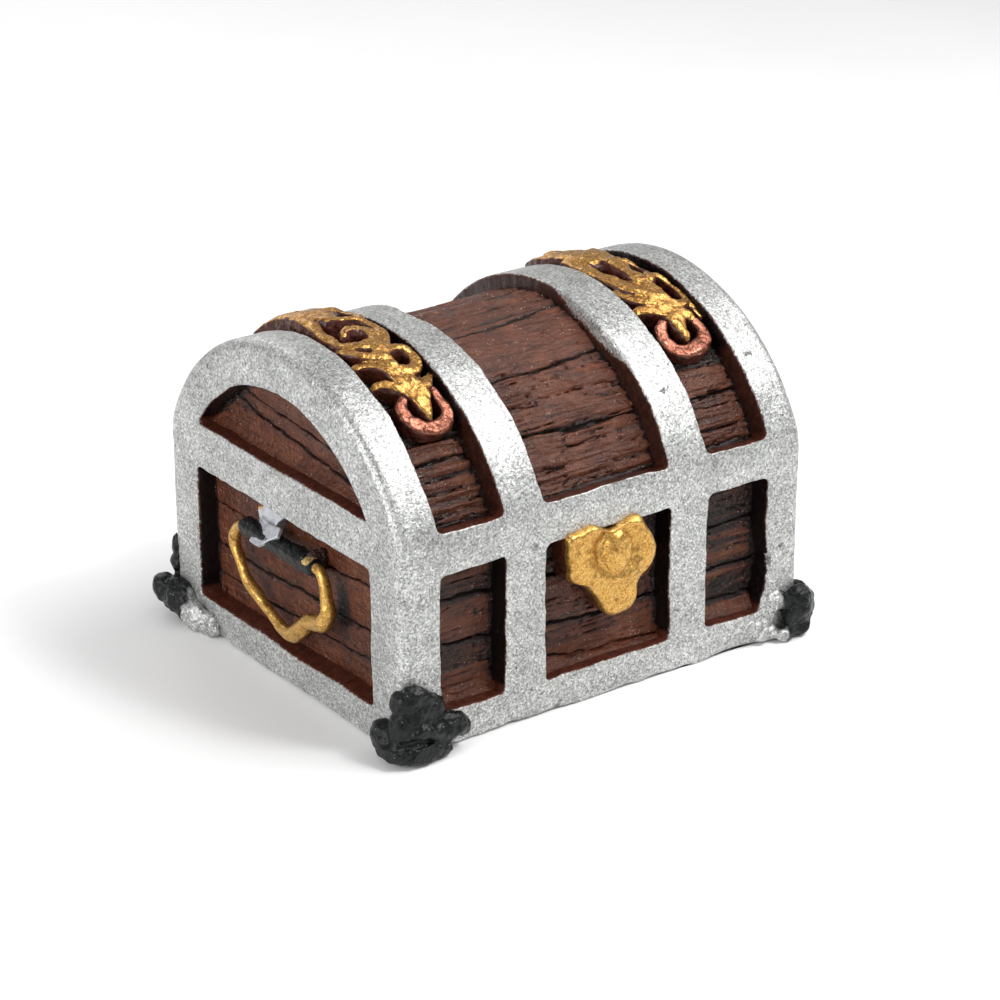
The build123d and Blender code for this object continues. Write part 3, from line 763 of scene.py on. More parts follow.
def bead_chain(centres, radii, tall=1.0, up=None, segments=14, boxy=1.0):
    """Closed tube with round ends along a line. tall scales it along up, and boxy below 1 squares it."""
    centres, radii = np.asarray(centres, float), np.asarray(radii, float)
    tall = np.broadcast_to(tall, radii.shape)
    along = np.gradient(centres, axis=0)
    along /= np.linalg.norm(along, axis=1, keepdims=True)
    up = np.broadcast_to(np.asarray(up if up is not None else (0, 0, 1), float), centres.shape)
    side = np.cross(along, up)
    side /= np.maximum(np.linalg.norm(side, axis=1, keepdims=True), 1e-6)
    rise = np.cross(side, along)
    caps = np.radians([85, 60, 30])
    rings = []
    for angle in caps:
        centre = centres[0] - along[0] * radii[0] * math.sin(angle)
        rings.append((centre, radii[0] * math.cos(angle), 0))
    rings += [(centre, radius, number) for number, (centre, radius) in enumerate(zip(centres, radii))]
    for angle in caps[::-1]:
        centre = centres[-1] + along[-1] * radii[-1] * math.sin(angle)
        rings.append((centre, radii[-1] * math.cos(angle), -1))
    turn = round_angles(segments)
    across = np.sign(np.cos(turn)) * np.abs(np.cos(turn)) ** boxy
    upward = np.sign(np.sin(turn)) * np.abs(np.sin(turn)) ** boxy
    points = []
    for centre, radius, number in rings:
        for out, high in zip(across, upward):
            points.append(centre + radius * (out * side[number] + tall[number] * high * rise[number]))
    return np.array(points), tube_faces(len(rings), segments)


BLOB_RINGS = 12
BLOB_SIDES = 20


def blob(centre, radii, tilt=0):
    """Closed ellipsoid, tilted by an angle in degrees about X."""
    points = []
    for ring in range(1, BLOB_RINGS):
        lift = math.pi * ring / BLOB_RINGS
        out, height = math.sin(lift), math.cos(lift)
        points += [(out * math.cos(a), out * math.sin(a), height) for a in round_angles(BLOB_SIDES)]
    points += [(0, 0, 1), (0, 0, -1)]
    spin = Matrix.Rotation(math.radians(tilt), 3, "X")
    placed = (np.array(points) * np.array(radii)) @ np.array(spin).T + np.array(centre)
    return placed, capped_faces(BLOB_RINGS - 1, BLOB_SIDES)


def join(parts):
    """One list of points and one of faces from several parts."""
    points, faces, start = [], [], 0
    for part_points, part_faces in parts:
        points.append(np.asarray(part_points))
        faces += [tuple(start + index for index in face) for face in part_faces]
        start += len(part_points)
    return np.concatenate(points), faces


def swell(points, normals, amount):
    """Points moved out along their normals."""
    return points + normals * amount[:, None]


def fuse(parts, voxel, smoothing):
    """One skin round overlapping closed parts. Gives points, normals and faces."""
    points, faces = join(parts)
    mesh = bpy.data.meshes.new("fusing")
    mesh.from_pydata([tuple(p) for p in points], [], faces)
    holder = bpy.data.objects.new("fusing", mesh)
    bpy.context.scene.collection.objects.link(holder)
    remesh = holder.modifiers.new("skin", "REMESH")
    remesh.mode = "VOXEL"
    remesh.voxel_size = voxel
    soften = holder.modifiers.new("soften", "SMOOTH")
    soften.factor = 0.5
    soften.iterations = smoothing
    bpy.context.view_layer.update()
    made = holder.evaluated_get(bpy.context.evaluated_depsgraph_get()).to_mesh()
    out_points = np.empty(len(made.vertices) * 3)
    made.vertices.foreach_get("co", out_points)
    out_faces = [tuple(polygon.vertices) for polygon in made.polygons]
    normals = np.empty(len(made.vertices) * 3)
    made.vertex_normals.foreach_get("vector", normals)
    bpy.data.objects.remove(holder)
    bpy.data.meshes.remove(mesh)
    return out_points.reshape(-1, 3), normals.reshape(-1, 3), out_faces


# ---------------------------------------------------------------- scrolls on the lid
PANEL_RADIUS = LID_RADIUS - PROUD
ARC_RADIUS = LID_RADIUS - 0.7
SCROLL_X = (node_box("scroll_right")[0][0] + node_box("scroll_right")[1][0]) / 2
SCROLL_HALF = 6.0
SCROLL_LIMIT = node_box("scroll_right")[1][2] - ARC_Z - 0.05
HEIGHT_RUNS = [-24.0, -16.0, -8.0, 0.0, 8.0, 17.0, 20.0, 24.0]
HEIGHTS = {
    "left": [2.2, 3.0, 4.0, 4.6, 4.9, 5.0, 4.4, 2.6],
    "right": [2.2, 2.9, 3.7, 4.2, 4.4, 4.4, 3.8, 2.4],
}


def scroll_top(dx, run, side_name):
    """Height of a scroll's top above the boards. It is domed across and rises towards the back."""
    return np.interp(run, HEIGHT_RUNS, HEIGHTS[side_name]) * (1 - 0.35 * (dx / SCROLL_HALF) ** 2)


def on_panel(x, run, lift):
    """Point above a lid panel. run is measured along the arc at the scroll's height."""
    x, angle, radius = np.broadcast_arrays(x, np.asarray(run) / ARC_RADIUS, PANEL_RADIUS + lift)
    return np.stack([x, radius * np.sin(angle), ARC_Z + radius * np.cos(angle)], axis=-1)


def scroll_stroke(side_name, rows, flip=1):
    """A boxy raised stroke from rows of side offset, run and half width. flip -1 puts it at the back."""
    dx, run, half = through(rows).T
    top = scroll_top(dx, run, side_name) * (0.55 + 0.45 * np.minimum(half / 0.75, 1))
    sunk = 0.5
    x = dx + (SCROLL_X if side_name == "right" else -SCROLL_X)
    centres = on_panel(x, flip * run, (top - sunk) / 2)
    up = on_panel(x, flip * run, (top - sunk) / 2 + 1) - centres
    return bead_chain(centres, half, (top + sunk) / 2 / half, up, segments=20, boxy=0.5)


LEFT_SCROLL = [
    [(-1.4, 4.2, 1.2), (0.1, 2.6, 1.0), (1.6, 1.7, 0.9), (3.2, 0.9, 0.9), (3.8, -1.6, 0.9),
     (3.4, -4.6, 0.95), (2.3, -6.3, 1.0), (0.9, -7.5, 1.1)],
    [(2.4, 10.6, 1.4), (4.4, 8.4, 0.9), (4.8, 5.0, 0.8), (3.9, 1.8, 0.8)],
    [(-2.6, 9.0, 1.9), (-3.2, 6.0, 1.6), (-3.8, 3.2, 1.4), (-4.3, 0.4, 1.25), (-4.4, -2.0, 1.15),
     (-4.0, -3.9, 1.15), (-2.8, -5.3, 1.2), (-1.1, -6.0, 1.2), (0.6, -5.6, 1.15), (1.6, -4.3, 1.1),
     (1.5, -2.5, 1.1), (0.3, -1.5, 1.0), (-1.3, -1.3, 0.8), (-2.2, -2.2, 0.6)],
    [(-1.8, 15.3, 1.8), (-1.9, 12.6, 2.3), (-1.2, 10.0, 2.8), (-0.6, 7.0, 2.5), (-0.7, 4.6, 1.9),
     (-1.0, 3.2, 1.2)],
    [(0.6, 11.4, 1.8), (2.2, 10.0, 1.5), (3.0, 9.0, 1.1)],
    [(-2.0, 13.0, 1.7), (-3.0, 15.5, 1.2), (-3.7, 17.6, 0.9), (-4.9, 19.2, 0.5)],
    [(-0.8, 14.5, 1.7), (0.4, 17.4, 1.2), (0.8, 21.4, 0.5)],
    [(0.6, 15.4, 1.2), (2.6, 14.4, 1.0), (4.6, 13.9, 0.8), (5.3, 14.8, 0.5)],
    [(0.2, -8.9, 1.3), (-1.2, -9.0, 1.1), (-2.6, -8.3, 0.95), (-3.7, -7.0, 0.8), (-4.5, -5.7, 0.7),
     (-5.2, -4.7, 0.5)],
    [(1.0, -8.2, 1.1), (2.7, -7.8, 0.95), (4.3, -8.0, 0.95), (4.9, -9.1, 0.95), (4.8, -10.9, 1.0),
     (3.7, -12.4, 1.15), (2.2, -12.8, 1.2), (1.0, -12.4, 1.3)],
    [(0.4, -6.4, 1.3), (0.2, -8.2, 1.4), (0.0, -10.6, 1.5), (0.2, -12.8, 1.8), (0.9, -14.8, 2.2),
     (1.4, -16.6, 2.1), (1.3, -18.2, 1.6), (1.1, -19.8, 1.1), (1.0, -21.2, 0.5)],
    [(1.8, -15.8, 1.8), (3.4, -15.4, 1.4), (4.6, -14.7, 1.0), (5.5, -13.9, 0.6)],
    [(0.2, -16.8, 1.2), (-1.0, -15.7, 1.05), (-2.2, -14.7, 0.95), (-3.6, -13.9, 0.85), (-4.7, -14.0, 0.7)],
    [(-0.3, -12.8, 1.2), (-1.3, -11.2, 1.0), (-2.7, -10.2, 0.85), (-3.9, -9.6, 0.85), (-4.9, -9.5, 0.8)],
]
LEFT_RING = [(-1.5, -17.4, 0.9), (-2.5, -18.8, 1.15), (-2.5, -20.6, 1.25), (-1.3, -22.3, 1.35),
             (0.6, -23.1, 1.4),
             (2.7, -22.7, 1.35), (4.2, -21.5, 1.2), (4.5, -19.6, 1.0), (4.1, -17.7, 0.8), (4.2, -16.2, 0.6)]
RIGHT_SCROLL = [
    [(-2.8, 18.4, 0.8), (-2.9, 16.0, 1.5), (-2.6, 13.0, 2.4), (-2.0, 9.5, 3.0), (-1.6, 6.0, 3.2),
     (-1.4, 3.4, 3.0)],
    [(-4.2, 6.0, 1.4), (-4.5, 2.0, 1.4), (-4.3, -2.0, 1.4), (-3.6, -5.2, 1.5), (-2.4, -7.6, 1.7),
     (-1.0, -9.6, 1.8), (-0.2, -12.4, 1.7)],
    [(0.4, 7.0, 2.0), (0.4, 3.4, 1.9), (0.0, 0.4, 1.6), (-0.1, -3.6, 1.25), (0.1, -6.4, 1.6),
     (0.6, -9.0, 1.6),
     (0.8, -12.0, 1.6)],
    [(1.2, -0.8, 0.8), (2.6, -2.6, 0.6), (2.9, -4.8, 0.6), (2.2, -6.8, 0.9)],
    [(0.8, -5.0, 0.5), (2.8, -4.6, 0.45)],
    [(1.6, -6.8, 1.3), (3.2, -6.0, 0.8), (4.5, -7.4, 0.65), (5.1, -10.0, 0.6), (5.2, -13.0, 0.6),
     (5.4, -16.0, 0.5)],
    [(1.0, -12.8, 1.5), (2.6, -13.2, 1.2), (4.2, -13.0, 0.9)],
    [(-1.2, -11.8, 1.2), (-2.6, -11.2, 1.0), (-4.0, -9.8, 0.9), (-4.9, -8.3, 0.8), (-5.2, -7.1, 0.7)],
    [(-0.4, -14.8, 1.1), (-1.4, -14.2, 1.0), (-2.6, -13.4, 0.95), (-4.0, -12.7, 0.9), (-5.0, -12.7, 0.8)],
    [(-0.2, -12.3, 1.6), (0.2, -14.4, 1.9), (0.3, -16.2, 1.6), (0.1, -18.0, 1.1), (0.0, -19.8, 0.5)],
    [(1.2, -14.4, 1.5), (2.4, -15.4, 1.2), (3.3, -16.6, 0.8), (3.8, -17.4, 0.5)],
    [(-0.8, 14.0, 1.8), (0.2, 17.6, 1.2), (0.1, 20.8, 0.5)],
]
RIGHT_RING = [(-2.1, -15.9, 0.8), (-3.4, -17.4, 1.1), (-3.7, -19.6, 1.25), (-2.3, -21.5, 1.35),
              (0.5, -21.8, 1.4),
              (3.0, -20.6, 1.35), (3.9, -18.7, 1.1), (3.3, -16.9, 0.8)]


def scroll_pieces(side_name, strokes, ring):
    """The pierced leaf and the open rings at its two ends."""
    parts = [scroll_stroke(side_name, stroke) for stroke in strokes]
    name, node = f"leaf_scroll_{side_name}", f"scroll_{side_name}"
    painted_relief(name, parts, node, side_name, scroll_gold, "gold_paint")
    for end_name, flip in (("front", 1), ("rear", -1)):
        parts = [scroll_stroke(side_name, ring, flip)]
        name, node = f"scroll_ring_{end_name}_{side_name}", f"scroll_cup_{end_name}_{side_name}"
        painted_relief(name, parts, node, side_name, copper_paint, "copper_paint", flip)


def painted_relief(name, parts, node, side_name, material, slot, flip=1):
    """A hand-modelled relief on a lid panel, with the brush only reaching its tops."""
    seed = 401 + len(name)
    points, normals, faces = fuse(parts, voxel=0.15, smoothing=3)
    lumps = 0.20 * fbm(*points.T, 2.0, seed, 2) + 0.09 * fbm(*points.T, 0.8, seed + 2, 2)
    points = swell(points, normals, lumps)
    radius = np.hypot(points[:, 1], points[:, 2] - ARC_Z)
    away = (points - (0, 0, ARC_Z)) * (0, 1, 1) / radius[:, None]
    facing = (normals * away).sum(axis=1)
    run = flip * ARC_RADIUS * np.arctan2(points[:, 1], points[:, 2] - ARC_Z)
    dx = np.abs(points[:, 0]) - SCROLL_X
    below = scroll_top(dx, run, side_name) - (radius - PANEL_RADIUS)
    brush = 0.45 * fbm(*points.T, 1.6, seed + 3, 3)
    paint = (1 - smooth_step(below + brush, 0.3, 0.85)) * smooth_step(facing + 0.35 * brush, 0.45, 0.85)
    paint = paint - 0.3 * smooth_step(points[:, 1], 4.0, 13.0)
    points = points - away * np.maximum(radius - SCROLL_LIMIT, 0)[:, None]
    make_piece(name, points, faces, "lid", slot, [node], material, paint=paint)


# ---------------------------------------------------------------- lock
LOCK_OUTLINE = [(-8.3, 26.5), (-8.1, 28.1), (-5.8, 28.6), (-3.4, 28.8), (-1.2, 27.7), (0.0, 27.3),
                (2.5, 28.2),
                (5.0, 28.5), (6.6, 26.3), (8.1, 23.7), (8.4, 22.3), (7.8, 20.5), (5.3, 17.9), (4.4, 14.8),
                (3.1, 13.5), (0.3, 13.2), (-1.6, 14.5), (-3.1, 17.4), (-4.4, 18.8), (-7.5, 20.8),
                (-8.0, 23.1)]
LOCK_COLLAR = [(-4.3, 24.6), (-4.0, 22.4), (-3.0, 20.9), (-0.3, 19.6), (3.1, 19.6), (4.7, 21.0)]
LOCK_MIDDLE = np.array([-0.1, 21.5])
LOCK_EDGE_ROUND = 1.0
LOCK_STAND = 1.2
LOCK_WALL_ROWS = 14
BOSS_X = 0.9
BOSS_Z = 23.7
BOSS_HALF_W = 2.8
BOSS_HALF_H = 3.4


def lock_relief(x, z):
    """Boss, collar round it, thumbed hollow beside it and the swell of the tongue."""
    ring = np.hypot((x - BOSS_X) / BOSS_HALF_W, (z - BOSS_Z) / BOSS_HALF_H)
    dome = 0.95 * np.clip(1 - ring**2, 0, 1) ** 0.7
    collar = through(LOCK_COLLAR, 6)
    near = np.min(np.hypot(x[..., None] - collar[:, 0], z[..., None] - collar[:, 1]), axis=-1)
    swells = [(-3.4, 25.2, 1.7, -0.8), (4.3, 24.6, 1.3, -0.35), (0.7, 16.4, 2.4, 0.25),
              (-6.6, 24.4, 1.6, 0.3),
              (6.6, 22.8, 1.6, 0.3), (-0.6, 28.0, 1.2, -0.5), (4.2, 27.4, 1.3, 0.3), (0.8, 18.2, 2.0, -0.3)]
    shape = sum(tall * hump(x, at_x, wide) * hump(z, at_z, wide) for at_x, at_z, wide, tall in swells)
    groove = -0.5 * hump(ring, 1.2, 0.3) * smooth_step(z, 19.0, 22.5)
    return dome + 0.5 * hump(near, 0.0, 1.0) + shape + groove


def lock_plate():
    """Lumpy gold hasp plate that stands out over the front rail."""
    front_y = node_box("lock_plate")[0][1]
    outline = through(LOCK_OUTLINE + LOCK_OUTLINE[:1], 12)[:-1] - LOCK_MIDDLE
    angle = np.arctan2(outline[:, 1], outline[:, 0]) % (2 * math.pi)
    order = np.argsort(angle)
    turn = round_angles(300)
    reach = np.interp(turn, angle[order], np.hypot(*outline.T)[order], period=2 * math.pi)
    spread = [np.linspace(0.02, 0.8, 50), np.linspace(0.81, 1.0, 30), np.ones(LOCK_WALL_ROWS)]
    share = np.concatenate(spread)
    x = LOCK_MIDDLE[0] + share[:, None] * reach * np.cos(turn)
    z = LOCK_MIDDLE[1] + share[:, None] * reach * np.sin(turn)
    stray = 0.18 * fbm(x, z, 0.0, 2.2, 503, 2) * smooth_step(share, 0.2, 0.9)[:, None]
    x, z = x + stray * np.cos(turn), z + stray * np.sin(turn)
    from_edge = np.minimum(reach * (1 - share[:, None]), LOCK_EDGE_ROUND)
    drop = LOCK_EDGE_ROUND - np.sqrt(LOCK_EDGE_ROUND**2 - (LOCK_EDGE_ROUND - from_edge) ** 2)
    calm = smooth_step(from_edge, 0.1, 1.0)
    relief = (lock_relief(x, z) + 0.16 * fbm(x, z, 0.0, 1.7, 509, 3)) * calm
    height = np.minimum(HALF_D + LOCK_STAND - drop + relief, -front_y - 0.05)
    root = HALF_D - HIDDEN_DEPTH
    wall = np.linspace(0, 1, LOCK_WALL_ROWS + 1)[1:, None]
    brow = height[-LOCK_WALL_ROWS - 1].copy()
    height[-LOCK_WALL_ROWS:] = brow + wall * (root - brow)
    face = np.stack([x, -height, z], axis=-1)
    ends = [[LOCK_MIDDLE[0], -height[0].mean(), LOCK_MIDDLE[1]], [LOCK_MIDDLE[0], -root, LOCK_MIDDLE[1]]]
    points = np.concatenate([face.reshape(-1, 3), ends])
    faces = capped_faces(*x.shape)
    brush = 0.25 * fbm(x, z, 0.0, 1.2, 521, 3)
    paint = smooth_step(height + brush, HALF_D - 0.8, HALF_D + 0.5)
    make_piece(
        "lock_relief", points, faces, "chest", "gold_paint", ["lock_plate"], gold_paint,
        paint=np.append(paint.ravel(), [1.0, 0.0]),
    )


# ---------------------------------------------------------------- feet
def out_chain(rows, tall=1.0):
    """Roll through rows of outward offset in X and Y, height and radius, from the body's corner."""
    rows = through(rows, 6)
    return bead_chain(rows[:, :3] + (HALF_W, HALF_D, 0), rows[:, 3], tall)


def lobe(dx, dy, z, radii):
    """Rounded lump, placed by its outward offset from the body's corner."""
    return blob((HALF_W + dx, HALF_D + dy, z), radii)


def front_left_lobes():
    return [
        lobe(-1.3, 0.7, 9.9, (2.7, 1.8, 2.2)), lobe(-3.9, 0.8, 8.2, (2.6, 1.5, 2.1)),
        lobe(0.6, -0.3, 9.7, (1.4, 1.9, 1.8)), lobe(-1.6, 1.0, 6.2, (3.6, 1.9, 2.8)),
        lobe(1.4, -2.6, 3.4, (1.8, 3.3, 2.6)), lobe(-1.0, 0.4, 3.0, (3.8, 2.4, 2.8)),
        lobe(-2.6, 0.9, 7.0, (4.2, 1.7, 3.4)), lobe(0.4, 0.4, 5.4, (2.4, 2.2, 3.0)),
        out_chain([(0.6, 1.6, 5.0, 1.1), (-1.4, 2.3, 5.5, 1.2), (-3.8, 2.2, 4.6, 1.2),
                   (-6.2, 1.8, 2.6, 1.1)]),
        out_chain([(2.2, -1.2, 2.2, 1.5), (1.2, 1.4, 1.9, 1.7), (-2.0, 2.5, 1.7, 1.6),
                   (-6.0, 2.0, 1.5, 1.3)]),
        out_chain([(-5.6, 1.0, 4.6, 1.9), (-8.2, 1.0, 4.0, 2.0), (-9.4, 0.8, 3.5, 1.7)], 1.15),
    ]


def front_right_lobes():
    angles = np.linspace(0.3, 5.6, 8)
    ring = [(-1.2 + 2.0 * math.cos(a), 1.6, 3.4 + 2.2 * math.sin(a), 0.85) for a in angles]
    return [
        lobe(-0.8, 0.6, 4.6, (3.1, 2.2, 3.9)), lobe(1.0, -1.2, 4.4, (2.2, 3.2, 3.8)), out_chain(ring),
        lobe(-4.0, 1.6, 1.1, (1.9, 1.1, 1.1)), lobe(-4.8, -0.1, 6.3, (2.4, 1.2, 1.9)),
        lobe(-6.6, -0.2, 4.4, (2.4, 1.1, 2.1)), lobe(-9.0, -0.3, 2.7, (2.4, 1.1, 2.0)),
        lobe(-6.4, 0.2, 1.3, (3.0, 1.2, 1.3)),
    ]


def rear_left_lobes():
    return [
        lobe(1.0, 0.6, 3.8, (2.3, 2.5, 2.5)), lobe(0.9, -3.0, 3.6, (2.2, 4.0, 3.6)),
        lobe(1.0, -7.0, 2.3, (2.0, 4.2, 2.5)), lobe(-0.4, -0.6, 9.6, (1.1, 1.4, 4.4)),
        lobe(0.3, -10.2, 1.7, (1.4, 3.6, 2.0)), lobe(-2.4, 0.4, 3.0, (3.0, 2.0, 3.0)),
    ]


FOOT_TOP_Z = 14.0
FOOT_MARGIN = 0.02
NO_SILVER = 99.0


def feet():
    """Four cast claws. Silver from the bands has strayed onto the inner lumps of three of them."""
    shapes = {
        "front_left": (front_left_lobes, NO_SILVER), "front_right": (front_right_lobes, 4.0),
        "rear_left": (rear_left_lobes, 6.2), "rear_right": (front_right_lobes, 4.0),
    }
    for corner, (lobes, silver_from) in shapes.items():
        y_name, x_name = corner.split("_")
        x_side, y_side = (1 if x_name == "right" else -1), (1 if y_name == "rear" else -1)
        points, normals, faces = fuse(lobes(), voxel=0.2, smoothing=3)
        flip = np.array([x_side, y_side, 1])
        place, way = points * flip, normals * flip
        seed = 601 + 7 * x_side + 3 * y_side
        lumps = 0.32 * fbm(*place.T, 2.6, seed, 2) + 0.16 * fbm(*place.T, 0.9, seed + 5, 2)
        place = swell(place, way, lumps - 0.1)
        reach = np.abs(node_box(f"foot_{corner}")).max(axis=0) - FOOT_MARGIN
        place = np.clip(place, (-reach[0], -reach[1], FOOT_MARGIN), (reach[0], reach[1], FOOT_TOP_Z))
        turned = [face[::-1] for face in faces] if x_side * y_side < 0 else faces
        inner = np.maximum((HALF_W, HALF_D) - np.abs(place[:, :2]), 0).sum(axis=1)
        inner = inner + 0.9 * fbm(*place.T, 2.0, seed + 9, 3)
        silver = smooth_step(inner, silver_from - 0.5, silver_from + 0.5)
        make_piece(
            f"claw_{corner}", place, turned, "chest", "black_paint", [f"foot_{corner}"], black_paint,
            silver=silver,
        )


# ---------------------------------------------------------------- drop handles
AXIS_X = (grip_low[0] + grip_high[0]) / 2
AXIS_Z = (grip_low[2] + grip_high[2]) / 2
GRIP_RADIUS = 1.42
GRIP_STEPS = 40
STRIP_THICKNESS = 0.75
BEHIND_THICKNESS = 1.6
BAIL_SWELL = 1.14
BAIL_LINE = [
    (7.4, 22.2, 0.75), (10.6, 22.2, 0.75), (12.6, 21.4, 0.75), (13.8, 19.6, 0.85), (13.9, 17.8, 0.85),
    (12.6, 16.0, 0.75), (11.6, 14.4, 0.7), (10.2, 12.8, 0.8), (8.1, 11.8, 0.85), (5.4, 10.4, 0.75),
    (3.0, 9.4, 0.75), (0.4, 8.5, 0.9), (-2.4, 8.9, 1.2), (-4.6, 10.6, 1.25), (-6.4, 12.4, 1.2),
    (-8.6, 13.2, 1.1), (-10.6, 13.9, 1.25), (-11.8, 15.6, 1.1), (-11.9, 17.4, 0.95), (-11.4, 19.4, 0.85),
    (-10.8, 21.2, 0.8), (-9.6, 22.2, 0.75), (-6.4, 22.2, 0.72),
]


def bail(side_name, side):
    """Hand-bent gold drop loop, thick where the wave is."""
    line = through([(side * AXIS_X, y, z, BAIL_SWELL * radius) for y, z, radius in BAIL_LINE], 8)
    parts = [bead_chain(line[:, :3], line[:, 3], up=(1, 0, 0))]
    points, normals, faces = fuse(parts, voxel=0.16, smoothing=3)
    calm = smooth_step(np.abs(points[:, 2] - AXIS_Z), 1.0, 3.0)
    lumps = 0.14 * fbm(*points.T, 1.8, 701, 3) * calm
    points = swell(points, normals, lumps)
    wear = 0.5 + 0.5 * fbm(*points.T, 2.5, 709, 3)
    # Gold on the upper and outer faces and brown under-colour beneath: painted shade on the underside, with
    # an uneven worn edge.
    facing_light = side * normals[:, 0] + 0.8 * normals[:, 2]
    paint = smooth_step(facing_light + 0.5 * wear, -0.75, 0.0)
    make_piece(
        f"bail_{side_name}", points, faces, f"handle_{side_name}", "gold_paint",
        [f"handle_bail_{side_name}"], gold_paint, paint=paint,
    )


def grip(side_name, side):
    """Rough black bar that the loop swings from, with a dab of gold near its front end."""
    line = np.linspace(grip_low[1] + 1.2, grip_high[1] - 1.2, GRIP_STEPS)
    radii = GRIP_RADIUS + 0.08 * fbm(line, 0.0, 0.0, 4.0, 721, 2)
    centres = np.stack([np.full(GRIP_STEPS, side * AXIS_X), line, np.full(GRIP_STEPS, AXIS_Z)], axis=1)
    parts = [bead_chain(centres, radii, up=(1, 0, 0.3), segments=24, boxy=0.55)]
    points, normals, faces = fuse(parts, voxel=0.17, smoothing=2)
    points = swell(points, normals, -0.12 * np.abs(fbm(*points.T, 1.1, 727, 3)))
    front = hump(points[:, 1], -7.7, 0.75) * smooth_step(points[:, 2] - AXIS_Z, 0.2, 1.0)
    dab = smooth_step(front + 0.25 * fbm(*points.T, 1.0, 729, 2), 0.45, 0.6)
    make_piece(
        f"grip_{side_name}", points, faces, "chest", "black_paint", [f"handle_grip_{side_name}"],
        grip_black, dab=dab,
    )


def facet(corners, thickness):
    """Flat plate through corners, thickened along its normal both ways."""
    corners = np.array(corners, float)
    normal = np.cross(corners[1] - corners[0], corners[2] - corners[0])
    normal = normal / np.linalg.norm(normal) * thickness / 2
    count = len(corners)
    faces = [tuple(range(count)), tuple(range(2 * count - 1, count - 1, -1))]
    faces += [(i, count + i, count + (i + 1) % count, (i + 1) % count) for i in range(count)]
    return np.concatenate([corners - normal, corners + normal]), faces


def cuff(side_name, side):
    """Folded silver strip in two facets: one on the wall, one lapped over the grip."""
    low, high = node_box(f"handle_cuff_{side_name}")
    wall = HALF_W - PROUD
    upper = [(wall + 0.9, 9.3, 25.4), (wall + 0.9, 6.2, 26.9), (wall + 1.2, 1.6, 26.3),
             (wall + 1.6, 4.0, 24.0),
             (wall + 1.4, 8.2, 23.4)]
    lower = [(AXIS_X - 1.2, 8.0, 23.6), (AXIS_X - 0.4, 1.0, 25.0), (AXIS_X + 0.6, 0.4, 23.9),
             (AXIS_X + 1.9, 4.4, 21.3), (AXIS_X + 1.7, 6.8, 21.3)]
    behind = [(wall - 0.6, 7.4, 25.2), (wall - 0.6, 3.2, 25.2), (AXIS_X - 0.8, 3.2, 23.7),
              (AXIS_X - 0.8, 7.2, 23.7)]
    parts = [facet([(side * x, y, z) for x, y, z in shape], STRIP_THICKNESS) for shape in (upper, lower)]
    parts.append(facet([(side * x, y, z) for x, y, z in behind], BEHIND_THICKNESS))
    parts.append(blob((side * (wall + 0.9), 8.8, 22.2), (0.9, 1.4, 0.9), 30))
    points, normals, faces = fuse(parts, voxel=0.15, smoothing=2)
    points = swell(points, normals, 0.10 * fbm(*points.T, 1.6, 733, 3))
    dab = hump(points[:, 1], 8.9, 1.3) * hump(points[:, 2], 25.9, 0.9)
    dab = smooth_step(dab + 0.2 * fbm(*points.T, 0.9, 739, 2), 0.45, 0.6)
    points = np.clip(points, low - (0.5, 0.3, 0.3), high + (0.5, 0.3, 0.3))
    make_piece(
        f"cuff_{side_name}", points, faces, "chest", "silver_paint", [f"handle_cuff_{side_name}"],
        cuff_silver, dab=dab,
    )


def clip(side_name, side):
    """Dark lug that holds the front of the grip to the wall."""
    low, high = node_box(f"handle_clip_{side_name}")
    wall_x = HALF_W - PROUD
    middle_y = (low[1] + high[1]) / 2
    parts = [
        blob((side * (wall_x + 0.7), middle_y, AXIS_Z + 0.2), (1.4, 1.2, 2.1)),
        blob((side * (wall_x + 1.8), middle_y, AXIS_Z + 1.4), (1.3, 1.1, 0.7)),
        blob((side * (wall_x + 1.7), middle_y, AXIS_Z - 1.4), (1.3, 1.1, 0.7)),
    ]
    points, normals, faces = fuse(parts, voxel=0.17, smoothing=3)
    points = swell(points, normals, 0.15 * fbm(*points.T, 1.4, 743, 3))
    points = np.clip(points, low + 0.01, high - 0.01)
    # The lug's near-black brown is partly its own paint and partly painted shade of the pit beside the
    # grip's front end.
    node = f"handle_clip_{side_name}"
    make_piece(f"clip_{side_name}", points, faces, "chest", "brown_varnish", [node], dark_varnish)


# ---------------------------------------------------------------- coins
COIN_RADII = (2.5, 3.2)
COIN_THICKNESS = 0.85
COIN_SIDES = 36
COIN_SPACING = 3.3
COIN_TILT = 0.35
HEAP_EDGE_Z = 16.2
VENT_Y = -3.0
VENT_RADIUS = 2.4
VENT_DEPTH = 5.0
VENT_CLEAR = 5.0


def coin(radius):
    """Plain coin with a raised rim and a ring of small beads, no picture or writing."""
    half = COIN_THICKNESS / 2
    section = [(0.0, half * 0.72), (radius * 0.55, half * 0.72), (radius * 0.6, half * 0.84),
               (radius * 0.66, half * 0.72), (radius * 0.8, half * 0.72), (radius * 0.85, half),
               (radius * 0.97, half), (radius, half * 0.7)]
    rings = section + [(r, -h) for r, h in reversed(section)]
    points = []
    for r, h in rings[1:-1]:
        points += [(r * math.cos(a), r * math.sin(a), h) for a in round_angles(COIN_SIDES)]
    points += [(0, 0, rings[0][1]), (0, 0, rings[-1][1])]
    return np.array(points), capped_faces(len(rings) - 2, COIN_SIDES)


